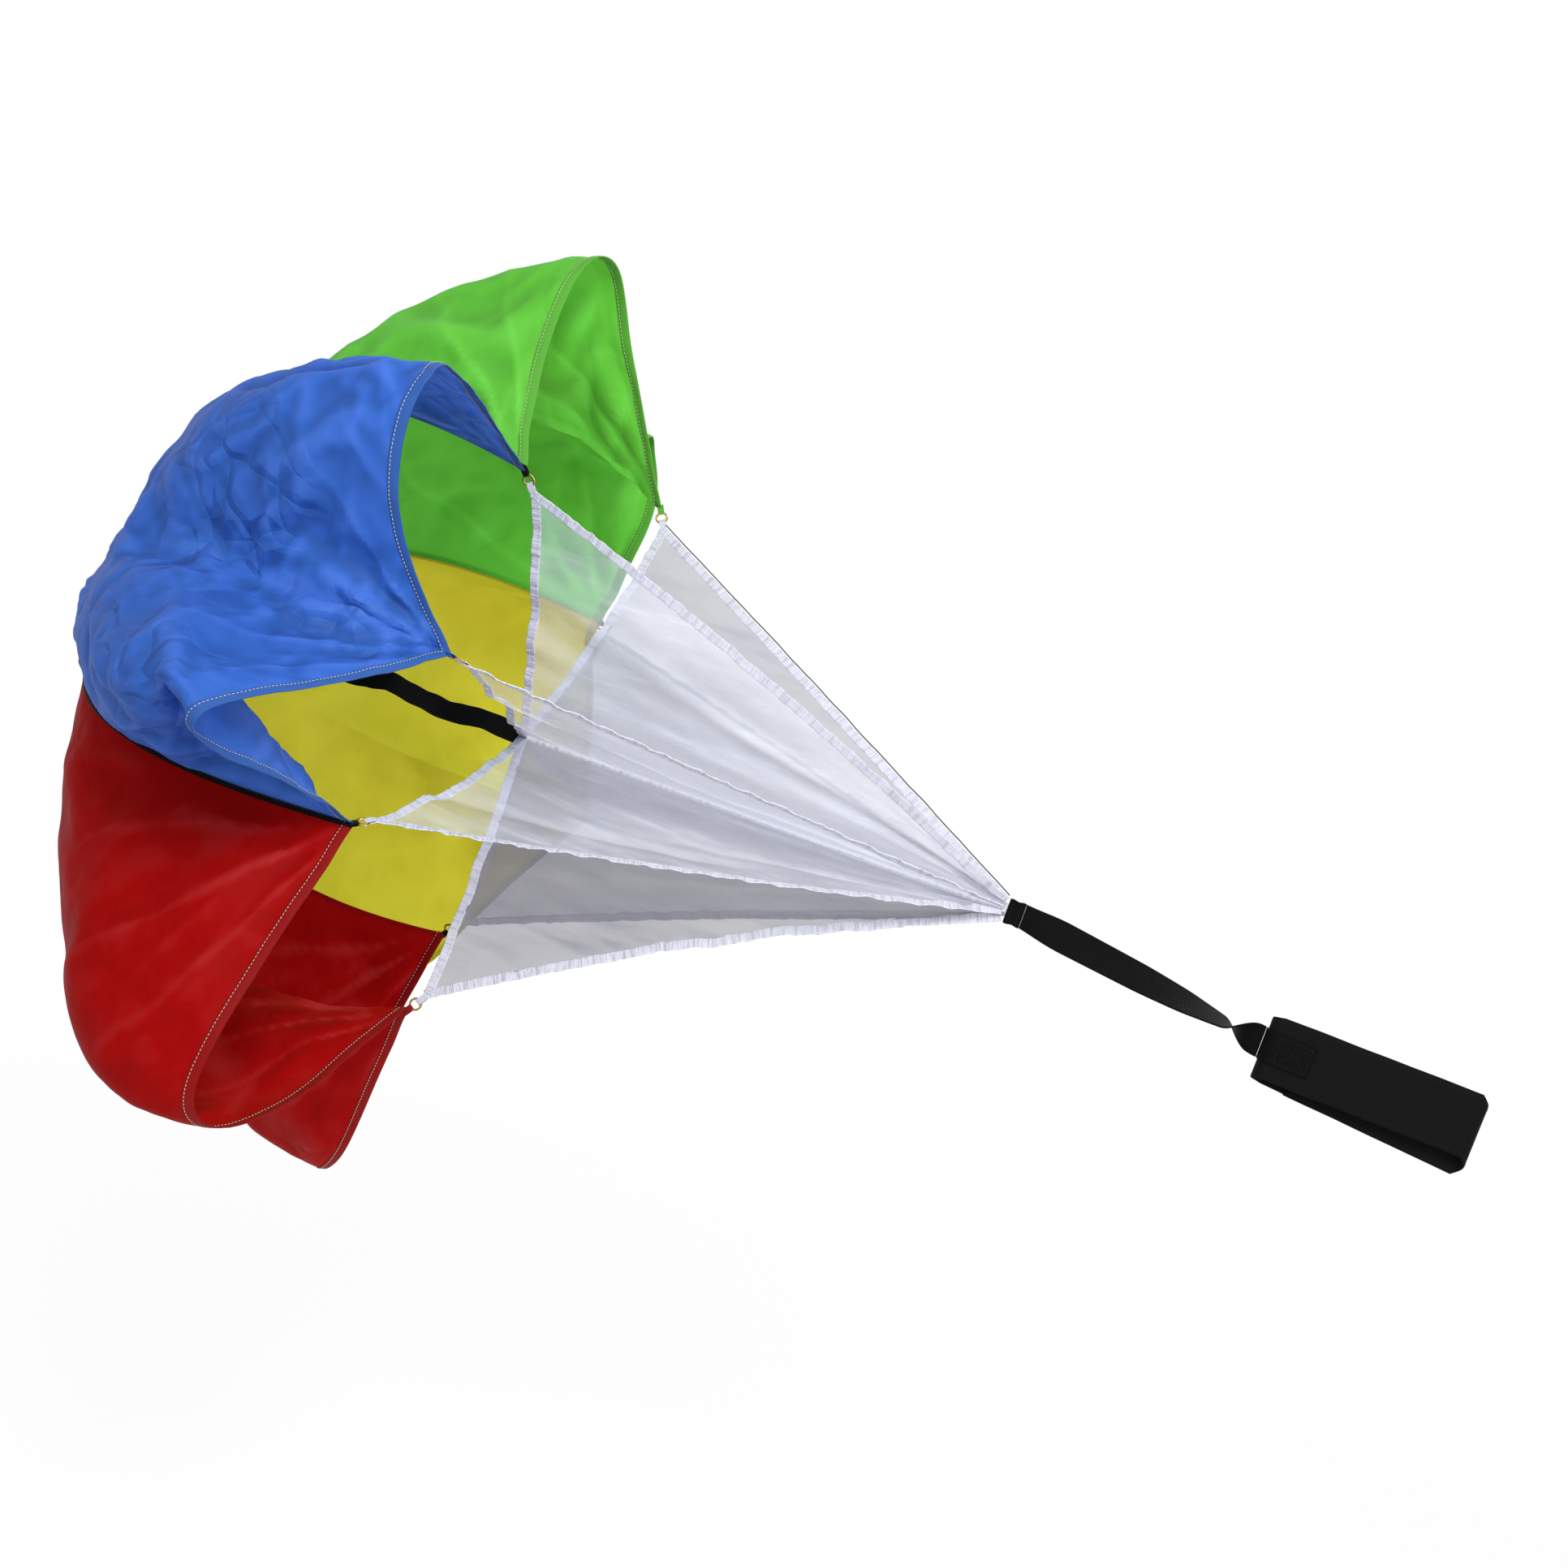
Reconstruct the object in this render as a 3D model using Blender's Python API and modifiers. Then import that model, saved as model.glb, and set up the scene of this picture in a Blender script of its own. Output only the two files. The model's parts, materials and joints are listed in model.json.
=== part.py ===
"""Speed parachute: a lobed canopy on eight mesh fins, towed by a strap from a waist belt.

Metres. +X runs along the tow line from the canopy to the belt, and +Z is up.
The origin is on the belt, at the centre of the face that bears on the wearer's waist.
Azimuths are turned about the tow line, from straight up towards -Y.
"""

import math

import bmesh
import bpy
from mathutils import Vector

# Clearances
SEAT_GAP = 0.0003
SOFT_EDGE_SHARE = 0.45

# Canopy
TIP_COUNT = 8
TIP_RADIUS = 0.340
LOBE_RADIUS = 0.585
LOBE_SETBACK = 0.090
CANOPY_DEPTH = 0.510
CROWN_HOLE_RADIUS = 0.012
CROWN_FLAT_RADIUS = 0.036
PANEL_THICKNESS = 0.0016
TIP_TURN_DEGREES = (-1.0, 0.0, 3.6, -3.3, 0.3, 0.4, 0.0, 0.0)
TIP_RADIUS_SHARES = (1.0, 1.0, 1.0, 0.955, 1.065, 0.975, 1.0, 1.0)
TIP_FORWARD_SHARES = (0.115, -0.14, 0.03, -0.13, 0.065, -0.17, 0.07, -0.14)
LOBE_RADIUS_SHARES = (1.0, 0.97, 1.02, 1.06, 1.04, 1.0, 0.97, 0.92)
LOBE_SETBACK_SHARES = (0.8, 0.75, 1.28, 0.82, 0.88, 1.7, 1.2, 1.0)
HEM_SCOOP_SHARES = (0.0, 0.07, 0.0, 0.0, 0.0, 0.03, 0.03, 0.0)
VALLEY_BULGE_SHARES = (1.28, 1.10)
VALLEY_BULGE_DEPTH_SHARE = 0.43
VALLEY_SHOULDER_SHARES = (1.27, 1.15)
RIDGE_BULGE_SHARES = (0.92, 1.0, 1.05, 1.07, 1.09, 1.08, 1.06, 1.0)
RIDGE_BULGE_DEPTH_SHARE = 0.40
RIDGE_SHOULDER_SHARE = 0.61
HEM_ARCH_SHARES = ((0.72, 0.45), (0.50, 1.0))
CROWN_ARCH_SHARES = ((0.684, 0.658), (0.342, 1.0))
STEPS_PER_HALF_LOBE = 6
STEPS_TO_CROWN = 12
PANELS = (
    ("panel_blue", 1, (0.035, 0.120, 0.560)),
    ("panel_red", 3, (0.420, 0.010, 0.008)),
    ("panel_yellow", 5, (0.560, 0.520, 0.030)),
    ("panel_green", 7, (0.100, 0.520, 0.040)),
)

# Seam tapes, one down each seam between two colours
SEAM_TAPE_WIDTH = 0.014
SEAM_TAPE_THICKNESS = 0.0010

# Crown patches and the strap that holds the crown forward
CROWN_PATCH_RADIUS = 0.032
CROWN_PATCH_THICKNESS = 0.0020
CROWN_PATCH_SIDES = 32
CENTRE_STRAP_WIDTH = 0.025
CENTRE_STRAP_THICKNESS = 0.0020
CENTRE_STRAP_STEPS = 16
CENTRE_STRAP_TURN_DEGREES = 60.0

# Mesh fins
FIN_LENGTH = 0.638
FIN_THICKNESS = 0.0012
FIN_TAPE_WIDTH = 0.015
FIN_TAPE_THICKNESS = 0.0018
FIN_BULGE = 0.016
FIN_BULGE_SHARES = (0.1, 1.0, -0.6, 0.7, -0.8, -0.4, 0.3, 0.3)
FIN_BILLOW = 0.020
FIN_STEPS = 10
FIN_CROSS_STEPS = 7
FIN_LEAST_SHARE = 0.35
FIN_SEAM_GAP = 0.0004
SLOPE_STEP_SHARE = 0.01
SPINE_RADIUS = 0.0030
SPINE_SIDES = 16
APEX_RISE = 0.015
APEX_HALF_DEPTH = 0.008
BASE_BOW_SHARES = (0.03, 0.02, 0.02, -0.05, 0.01, 0.02, 0.02, 0.02)

# Tie rings between the canopy's tips and the fins' corners
RING_RADIUS = 0.0070
RING_WIRE_RADIUS = 0.0014
RING_SEGMENTS = 14
RING_WIRE_SIDES = 6

# Tow strap and the tab at the fins' apex
STRAP_WIDTH = 0.038
STRAP_THICKNESS = 0.0025
STRAP_SPAN = 0.302
STRAP_STEPS = 48
STRAP_TURN_DEGREES = ((0.0, 0.0), (0.14, 24.0), (0.50, 38.0), (0.68, 55.0), (0.86, 82.0), (0.97, 180.0), (1.0, 180.0))
APEX_TAB_LENGTH = 0.020
APEX_TAB_WIDTH = 0.030
STRAP_GATHER_SHARE = 0.12

# Waist belt: a wide band lying as a flattened loop, closed with hook-and-loop
BELT_WIDTH = 0.076
BELT_THICKNESS = 0.0025
BELT_LOOP_LENGTH = 0.2535
BELT_LOOP_GAP = 0.016
BELT_FOLD_DROP = 0.010
BELT_END_DROP = 0.026
BELT_FOLD_STEPS = 10
BELT_RUN_STEPS = 4
FLAP_LENGTH = 0.110
FLAP_ROOT_INSET = 0.040
FLAP_OVERLAP_TAIL = 0.012
PATCH_LENGTH = 0.070
PATCH_WIDTH = 0.050
PATCH_THICKNESS = 0.0012
ANCHOR_LENGTH = 0.045
ANCHOR_THICKNESS = 0.0016

# Belt stack, outwards from the wearer's face of the front layer
INNER_BACK_Y = BELT_LOOP_GAP + BELT_THICKNESS / 2
FLAP_Y = INNER_BACK_Y + BELT_THICKNESS + 2 * PATCH_THICKNESS + 3 * SEAT_GAP
FRONT_Y = -BELT_THICKNESS / 2
RIGHT_FOLD_RADIUS = (INNER_BACK_Y - FRONT_Y) / 2
LEFT_FOLD_RADIUS = (FLAP_Y - FRONT_Y) / 2
RIGHT_FOLD_X = BELT_LOOP_LENGTH / 2 - BELT_THICKNESS / 2 - RIGHT_FOLD_RADIUS
LEFT_FOLD_X = -BELT_LOOP_LENGTH / 2 + BELT_THICKNESS / 2 + LEFT_FOLD_RADIUS
FLAP_HINGE_X = LEFT_FOLD_X + FLAP_ROOT_INSET

# Tow line, from the belt's left fold back to the crown
TOW_Y = (FLAP_Y + FRONT_Y) / 2
ANCHOR_OUTER_X = -BELT_LOOP_LENGTH / 2 - SEAT_GAP - ANCHOR_THICKNESS
TOW_HINGE_X = ANCHOR_OUTER_X - SEAT_GAP - STRAP_THICKNESS / 2
CANOPY_HINGE_X = TOW_HINGE_X - STRAP_SPAN
TAB_FRONT_X = CANOPY_HINGE_X - STRAP_THICKNESS / 2 - SEAT_GAP
APEX_X = TAB_FRONT_X - APEX_TAB_LENGTH - SEAT_GAP
HUB_X = APEX_X - FIN_LENGTH
AXIS_Z = 0.021
APEX_Z = AXIS_Z + APEX_RISE
CROWN_X = HUB_X - CANOPY_DEPTH


def clear_scene():
    """Start from an empty scene."""
    for found in list(bpy.data.objects):
        bpy.data.objects.remove(found)


def make_collection(name):
    """A collection linked to the scene."""
    collection = bpy.data.collections.new(name)
    bpy.context.scene.collection.children.link(collection)
    return collection


def make_material(name, colour, roughness, metallic=0.0):
    """A plain Principled material."""
    material = bpy.data.materials.new(name)
    material.use_nodes = True
    shader = material.node_tree.nodes["Principled BSDF"]
    shader.inputs["Base Color"].default_value = (*colour, 1.0)
    shader.inputs["Roughness"].default_value = roughness
    shader.inputs["Metallic"].default_value = metallic
    return material


def make_empty(name, place, collection):
    """An empty on a joint's axis, for the pieces that turn about it."""
    empty = bpy.data.objects.new(name, None)
    empty.location = place
    collection.objects.link(empty)
    return empty


def lerp(a, b, share):
    """The value a share of the way from a to b."""
    return a + (b - a) * share


def bezier(points, share):
    """A point on a cubic Bezier curve."""
    rest = 1 - share
    weights = (rest ** 3, 3 * rest * rest * share, 3 * rest * share * share, share ** 3)
    total = points[0] * weights[0]
    for point, weight in zip(points[1:], weights[1:]):
        total = total + point * weight
    return total


def table_value(table, share):
    """A smooth reading between the rows of a (share, value) table."""
    for (start, low), (end, high) in zip(table, table[1:]):
        if share <= end:
            step = (share - start) / (end - start)
            return lerp(low, high, step)
    return table[-1][1]


def canopy_place(radius, azimuth, forward):
    """A place round the tow line, measured forward from the hub where the fins start."""
    side = -radius * math.sin(azimuth)
    rise = radius * math.cos(azimuth)
    return Vector((HUB_X + forward, TOW_Y + side, AXIS_Z + rise))


def tip_azimuth(tip):
    """The azimuth of a canopy tip; tip 0 is just beyond straight up."""
    step = 360.0 / TIP_COUNT
    turn = TIP_TURN_DEGREES[tip % TIP_COUNT]
    return math.radians(step * tip - step / 2 + turn)


def tip_place(tip):
    """Where the canopy's tip is."""
    index = tip % TIP_COUNT
    radius = TIP_RADIUS * TIP_RADIUS_SHARES[index]
    return canopy_place(radius, tip_azimuth(tip), TIP_RADIUS * TIP_FORWARD_SHARES[index])


def valley_place(tip, share):
    """A place on the valley that runs from a tip to the crown."""
    index = tip % TIP_COUNT
    radius = TIP_RADIUS * TIP_RADIUS_SHARES[index]
    forward = TIP_RADIUS * TIP_FORWARD_SHARES[index]
    controls = (
        Vector((radius, forward)),
        Vector((radius * VALLEY_BULGE_SHARES[index % 2], -CANOPY_DEPTH * VALLEY_BULGE_DEPTH_SHARE)),
        Vector((TIP_RADIUS * VALLEY_SHOULDER_SHARES[index % 2], -CANOPY_DEPTH)),
        Vector((CROWN_FLAT_RADIUS, -CANOPY_DEPTH)),
    )
    spot = bezier(controls, share)
    return canopy_place(spot.x, tip_azimuth(tip), spot.y)


def ridge_place(lobe, share):
    """A place on the ridge of a lobe, from its hem to the crown."""
    index = lobe % TIP_COUNT
    radius = LOBE_RADIUS * LOBE_RADIUS_SHARES[index]
    setback = LOBE_SETBACK * LOBE_SETBACK_SHARES[index]
    controls = (
        Vector((radius, -setback)),
        Vector((radius * RIDGE_BULGE_SHARES[index], -CANOPY_DEPTH * RIDGE_BULGE_DEPTH_SHARE)),
        Vector((LOBE_RADIUS * RIDGE_SHOULDER_SHARE, -CANOPY_DEPTH)),
        Vector((CROWN_FLAT_RADIUS, -CANOPY_DEPTH)),
    )
    spot = bezier(controls, share)
    azimuth = (tip_azimuth(lobe) + tip_azimuth_after(lobe)) / 2
    return canopy_place(spot.x, azimuth, spot.y)


def tip_azimuth_after(lobe):
    """The azimuth of the tip that ends a lobe, counted on past a full turn."""
    azimuth = tip_azimuth(lobe + 1)
    if azimuth < tip_azimuth(lobe):
        azimuth += 2 * math.pi
    return azimuth


def arch_place(lobe, share, across):
    """A place on a lobe: share runs from hem to crown, across from -1 at one tip to 1 at the next."""
    start = valley_place(lobe, share)
    end = valley_place(lobe + 1, share)
    middle = (start + end) / 2
    half = (end - start) / 2
    rise = ridge_place(lobe, share) - middle
    tau = 1 - abs(across)
    shares = []
    for hem, crown in zip(HEM_ARCH_SHARES, CROWN_ARCH_SHARES):
        shares.append(Vector((lerp(hem[0], crown[0], share), lerp(hem[1], crown[1], share))))
    spot = bezier((Vector((1.0, 0.0)), shares[0], shares[1], Vector((0.0, 1.0))), tau)
    side = math.copysign(spot.x, across)
    scoop = TIP_RADIUS * HEM_SCOOP_SHARES[lobe % TIP_COUNT] * (1 - share) ** 2
    back = scoop * math.sin(math.pi * max(across, 0.0))
    return middle + half * side + rise * spot.y - Vector((back, 0.0, 0.0))


def lobe_columns():
    """The places across one lobe, from one tip to the next."""
    steps = 2 * STEPS_PER_HALF_LOBE
    return [2 * step / steps - 1 for step in range(steps + 1)]


def seam_strip(row):
    """The start of a row, with a narrow strip under the seam tape and half of the seam's gap left open."""
    way = row[1] - row[0]
    reach = min(SEAM_TAPE_WIDTH / 2, way.length / 2)
    return [row[0] + way.normalized() * SEAT_GAP / 2, row[0] + way.normalized() * reach]


def seat_ends(row):
    """The row with a strip for the seam tape at each end."""
    return seam_strip(row) + row[1:-1] + seam_strip(row[::-1])[::-1]


def panel_grid(first_lobe):
    """Rows of places over a panel's two lobes, from the hem back to the hole in the crown."""
    rows = []
    for step in range(STEPS_TO_CROWN + 1):
        share = step / STEPS_TO_CROWN
        row = [arch_place(first_lobe, share, across) for across in lobe_columns()]
        row += [arch_place(first_lobe + 1, share, across) for across in lobe_columns()[1:]]
        rows.append(row)
    crown = Vector((CROWN_X, TOW_Y, AXIS_Z))
    rows.append([crown.lerp(place, CROWN_HOLE_RADIUS / CROWN_FLAT_RADIUS) for place in rows[-1]])
    return [seat_ends(row) for row in rows]


def sheet_mesh(name, rows, split=False):
    """A grid of quads through rows of places; split cuts each quad in two along the same diagonal."""
    mesh = bpy.data.meshes.new(name)
    shape = bmesh.new()
    grid = [[shape.verts.new(place) for place in row] for row in rows]
    for low, high in zip(grid, grid[1:]):
        for left in range(len(low) - 1):
            corners = (low[left], high[left], high[left + 1], low[left + 1])
            if split:
                shape.faces.new(corners[:3])
                shape.faces.new((corners[0], corners[2], corners[3]))
            else:
                shape.faces.new(corners)
    shape.to_mesh(mesh)
    shape.free()
    return mesh


def add_object(name, mesh, material, collection, origin=None, parent=None):
    """Put a mesh built in place into the scene, with its origin on its joint or its own centre."""
    base = Vector((0.0, 0.0, 0.0)) if parent is None else parent.location
    origin = base if origin is None else origin
    for vertex in mesh.vertices:
        vertex.co = vertex.co - origin
    thing = bpy.data.objects.new(name, mesh)
    mesh.materials.append(material)
    thing.parent = parent
    thing.location = origin - base
    collection.objects.link(thing)
    return thing


def thicken(thing, thickness, offset):
    """Give an open sheet its wall."""
    wall = thing.modifiers.new("wall", "SOLIDIFY")
    wall.thickness = thickness
    wall.offset = offset
    return wall


def soften(thing, thickness):
    """Round the cut edges of a strap until its ends are half round."""
    edge = thing.modifiers.new("soft_edge", "BEVEL")
    edge.width = thickness * SOFT_EDGE_SHARE
    edge.segments = 2
    edge.limit_method = "ANGLE"
    edge.angle_limit = math.radians(60)
    return edge


def shade(thing):
    """Smooth shading with the cut edges kept sharp."""
    thing.data.shade_smooth()
    thing.data.set_sharp_from_angle(angle=math.radians(40))


def build_panels(collection, parent):
    """Four coloured panels, each two lobes wide, that together make the canopy."""
    for name, first_lobe, colour in PANELS:
        mesh = sheet_mesh(name, panel_grid(first_lobe), split=True)
        material = make_material(name, colour, 0.45)
        panel = add_object(name, mesh, material, collection, parent=parent)
        thicken(panel, PANEL_THICKNESS, -1.0)
        shade(panel)


def seam_rows(tip):
    """A tape folded into the valley of a seam, clear of the panel on each side."""
    reach = SEAM_TAPE_WIDTH / 2
    clear = 2 * SEAT_GAP + SEAM_TAPE_THICKNESS / 2
    near = lobe_columns()[1]
    rows = []
    for step in range(STEPS_TO_CROWN + 1):
        share = step / STEPS_TO_CROWN
        before = max(step - 1, 0) / STEPS_TO_CROWN
        after = min(step + 1, STEPS_TO_CROWN) / STEPS_TO_CROWN
        centre = valley_place(tip, share)
        left = (arch_place(tip - 1, share, -near) - centre).normalized()
        right = (arch_place(tip, share, near) - centre).normalized()
        along = (valley_place(tip, after) - valley_place(tip, before)).normalized()
        out_left = left.cross(along).normalized()
        out_right = along.cross(right).normalized()
        out = (out_left + out_right).normalized()
        lift = clear / max(out.dot(out_right), 0.2)
        rows.append((
            centre + left * reach + out_left * clear,
            centre + out * lift,
            centre + right * reach + out_right * clear,
        ))
    return rows


def build_seam_tapes(collection, parent):
    """Black tapes on the outside of the four seams."""
    for index, (name, tip, _) in enumerate(PANELS):
        other = PANELS[index - 1][0].replace("panel_", "")
        label = "seam_tape_" + other + "_" + name.replace("panel_", "")
        black = make_material(label, (0.01, 0.01, 0.01), 0.7)
        tape = add_object(label, sheet_mesh(label, seam_rows(tip), split=True), black, collection, parent=parent)
        thicken(tape, SEAM_TAPE_THICKNESS, 0.0)
        shade(tape)


def build_crown_patches(collection, parent):
    """A round patch on each side of the crown, over the ends of the panels."""
    outer_x = CROWN_X - SEAT_GAP - CROWN_PATCH_THICKNESS / 2
    inner_x = CROWN_X + PANEL_THICKNESS + SEAT_GAP + CROWN_PATCH_THICKNESS / 2
    places = (("crown_patch_outer", outer_x), ("crown_patch_inner", inner_x))
    for name, centre_x in places:
        bpy.ops.mesh.primitive_cylinder_add(
            vertices=CROWN_PATCH_SIDES, radius=CROWN_PATCH_RADIUS, depth=CROWN_PATCH_THICKNESS,
            location=(0.0, 0.0, 0.0), rotation=(0.0, 0.0, 0.0))
        patch = bpy.context.object
        patch.name = name
        patch.data.name = name
        patch.rotation_euler = (0.0, math.radians(90), 0.0)
        patch.location = Vector((centre_x, TOW_Y, AXIS_Z)) - parent.location
        patch.parent = parent
        patch.data.materials.append(make_material(name, (0.012, 0.012, 0.012), 0.7))
        for home in list(patch.users_collection):
            home.objects.unlink(patch)
        collection.objects.link(patch)
        patch.data.shade_smooth()
        patch.data.set_sharp_from_angle(angle=math.radians(40))


def ribbon_rows(path, turns, widths):
    """Two edges of a flat strap along a path near the tow line, turned about it."""
    rows = []
    for place, turn, width in zip(path, turns, widths):
        half = Vector((0.0, math.sin(turn), math.cos(turn))) * width / 2
        rows.append((place - half, place + half))
    return rows


def build_centre_strap(collection, parent):
    """The strap inside the canopy, from the crown to the hub, with a slow twist."""
    start_x = CROWN_X + PANEL_THICKNESS + 2 * SEAT_GAP + CROWN_PATCH_THICKNESS
    end_x = HUB_X - SEAT_GAP
    path = []
    turns = []
    for step in range(CENTRE_STRAP_STEPS + 1):
        share = step / CENTRE_STRAP_STEPS
        path.append(Vector((lerp(start_x, end_x, share), TOW_Y, AXIS_Z)))
        turns.append(math.radians(CENTRE_STRAP_TURN_DEGREES) * (1 - share))
    mesh = sheet_mesh("centre_strap", ribbon_rows(path, turns, [CENTRE_STRAP_WIDTH] * len(path)))
    strap = add_object("centre_strap", mesh, make_material("centre_strap", (0.01, 0.01, 0.01), 0.75),
                       collection, parent=parent)
    thicken(strap, CENTRE_STRAP_THICKNESS, 0.0)
    shade(strap)


def corner_direction(tip):
    """The way from a canopy tip to its fin's corner: between the fin's base and its leading edge."""
    outward = canopy_place(1.0, tip_azimuth(tip), 0.0) - canopy_place(0.0, 0.0, 0.0)
    start = tip_place(tip)
    to_hub = -outward
    to_apex = (apex_place(tip) - start).normalized()
    return (to_hub + to_apex).normalized()


def fin_corner(tip):
    """The fin's outer corner, a ring's width in from the canopy's tip."""
    ring_span = PANEL_THICKNESS + 2 * (RING_RADIUS + RING_WIRE_RADIUS + SEAT_GAP)
    return tip_place(tip) + corner_direction(tip) * ring_span


def apex_place(tip):
    """Where a fin's leading edge meets the tab at the apex, spread over the strap's width."""
    azimuth = tip_azimuth(tip)
    side = -APEX_HALF_DEPTH * math.sin(azimuth)
    rise = (APEX_TAB_WIDTH / 2) * math.cos(azimuth)
    return Vector((APEX_X, TOW_Y + side, APEX_Z + rise))


def spine_place(tip, share):
    """The fin's inner edge, beside the spine that all the fins are sewn to."""
    reach = SPINE_RADIUS + 2 * SEAT_GAP
    inner = canopy_place(reach, tip_azimuth(tip), FIN_LENGTH * share)
    return inner + Vector((0.0, 0.0, APEX_RISE * share))


def leading_place(tip, share):
    """The fin's leading edge, bulged a little outwards."""
    corner = fin_corner(tip)
    apex = apex_place(tip)
    outward = canopy_place(1.0, tip_azimuth(tip), 0.0) - canopy_place(0.0, 0.0, 0.0)
    bulge = FIN_BULGE * FIN_BULGE_SHARES[tip] * math.sin(math.pi * share)
    return corner.lerp(apex, share) + outward * bulge


def fin_place(tip, share, across):
    """A place on a fin: share runs from base to apex, across from the spine to the leading edge."""
    outward = canopy_place(1.0, tip_azimuth(tip), 0.0) - canopy_place(0.0, 0.0, 0.0)
    sideways = Vector((1.0, 0.0, 0.0)).cross(outward)
    place = spine_place(tip, share).lerp(leading_place(tip, share), across)
    bow = TIP_RADIUS * BASE_BOW_SHARES[tip] * 4 * across * (1 - across) * (1 - share) ** 3
    billow = FIN_BILLOW * math.sin(math.pi * share) * (1 - share) * math.sin(math.pi * across)
    return place + Vector((bow, 0.0, 0.0)) + sideways * billow


def tape_edge(tip, share, margin):
    """How far across the fin a margin in from the leading edge lies."""
    row = leading_place(tip, share) - spine_place(tip, share)
    before = leading_place(tip, max(share - SLOPE_STEP_SHARE, 0.0))
    after = leading_place(tip, min(share + SLOPE_STEP_SHARE, 1.0))
    slant = row.normalized().cross((after - before).normalized()).length
    return 1 - margin / (row.length * slant)


def fin_edges(tip, share):
    """How far across a fin its mesh ends and its leading tape starts."""
    tape = max(tape_edge(tip, share, FIN_TAPE_WIDTH), FIN_LEAST_SHARE)
    width = (leading_place(tip, share) - spine_place(tip, share)).length
    return tape - FIN_SEAM_GAP / width, tape


def fin_shares():
    """The rows of a fin above its base tape, on to the apex."""
    start = (FIN_TAPE_WIDTH + FIN_SEAM_GAP) / FIN_LENGTH
    return [lerp(start, 1.0, step / FIN_STEPS) for step in range(FIN_STEPS + 1)]


def mesh_row(tip, share, edges_at):
    """Places across a fin's mesh, with its edge as at another row."""
    edge = fin_edges(tip, edges_at)[0]
    return [fin_place(tip, share, edge * step / FIN_CROSS_STEPS) for step in range(FIN_CROSS_STEPS + 1)]


def build_fins(collection, parent):
    """Eight mesh fins with a tape along the base and one along the leading edge of each."""
    mesh_white = make_material("fin_mesh", (0.78, 0.80, 0.90), 0.8)
    tape_white = make_material("fin_tape", (0.85, 0.86, 0.93), 0.7)
    shares = fin_shares()
    for tip in range(TIP_COUNT):
        base_rows = []
        for share in (0.0, FIN_TAPE_WIDTH / FIN_LENGTH):
            base_rows.append(mesh_row(tip, share, shares[0]) + [fin_place(tip, share, 1.0)])
        body_rows = [mesh_row(tip, share, share) for share in shares]
        lead_rows = [(fin_place(tip, share, fin_edges(tip, share)[1]), fin_place(tip, share, 1.0)) for share in shares]
        pieces = (
            ("mesh_fin_", mesh_white, FIN_THICKNESS, body_rows),
            ("lead_tape_", tape_white, FIN_TAPE_THICKNESS, lead_rows),
            ("base_tape_", tape_white, FIN_TAPE_THICKNESS, base_rows),
        )
        for label, material, thickness, rows in pieces:
            name = label + str(tip)
            piece = add_object(name, sheet_mesh(name, rows), material, collection, parent=parent)
            thicken(piece, thickness, 0.0)
            shade(piece)


def build_spine(collection, parent):
    """The seam where the inner edges of all the fins meet, a slim cord along the tow line."""
    start = Vector((HUB_X, TOW_Y, AXIS_Z))
    end = Vector((APEX_X - SEAT_GAP, TOW_Y, APEX_Z))
    along = end - start
    bpy.ops.mesh.primitive_cylinder_add(vertices=SPINE_SIDES, radius=SPINE_RADIUS, depth=along.length)
    spine = bpy.context.object
    spine.name = "fin_spine"
    spine.data.name = "fin_spine"
    spine.rotation_euler = along.to_track_quat("Z", "Y").to_euler()
    spine.location = (start + end) / 2 - parent.location
    spine.parent = parent
    spine.data.materials.append(make_material("fin_spine", (0.85, 0.86, 0.93), 0.7))
    for home in list(spine.users_collection):
        home.objects.unlink(spine)
    collection.objects.link(spine)
    spine.data.shade_smooth()
    spine.data.set_sharp_from_angle(angle=math.radians(50))


def build_tie_rings(collection, parent):
    """A small ring at each tip that ties the canopy to the fin's corner."""
    for tip in range(TIP_COUNT):
        way = corner_direction(tip)
        centre = tip_place(tip) + way * (PANEL_THICKNESS + SEAT_GAP + RING_WIRE_RADIUS + RING_RADIUS)
        outward = canopy_place(1.0, tip_azimuth(tip), 0.0) - canopy_place(0.0, 0.0, 0.0)
        sideways = Vector((1.0, 0.0, 0.0)).cross(outward)
        bpy.ops.mesh.primitive_torus_add(
            major_segments=RING_SEGMENTS, minor_segments=RING_WIRE_SIDES,
            major_radius=RING_RADIUS, minor_radius=RING_WIRE_RADIUS)
        ring = bpy.context.object
        ring.name = "tie_ring_" + str(tip)
        ring.data.name = ring.name
        ring.rotation_euler = sideways.to_track_quat("Z", "Y").to_euler()
        ring.location = centre - parent.location
        ring.parent = parent
        ring.data.materials.append(make_material(ring.name, (0.62, 0.45, 0.20), 0.35, 0.9))
        for home in list(ring.users_collection):
            home.objects.unlink(ring)
        collection.objects.link(ring)
        ring.data.shade_smooth()


def build_apex_tab(collection, parent):
    """The doubled webbing tab that the fins' apex is sewn into."""
    path = [Vector((APEX_X + SEAT_GAP, TOW_Y, APEX_Z)), Vector((TAB_FRONT_X, TOW_Y, APEX_Z))]
    mesh = sheet_mesh("apex_tab", ribbon_rows(path, (0.0, 0.0), (APEX_TAB_WIDTH, APEX_TAB_WIDTH)))
    tab = add_object("apex_tab", mesh, make_material("apex_tab", (0.01, 0.01, 0.01), 0.7),
                     collection, parent=parent)
    thicken(tab, STRAP_THICKNESS, 0.0)
    soften(tab, STRAP_THICKNESS)
    shade(tab)


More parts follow.
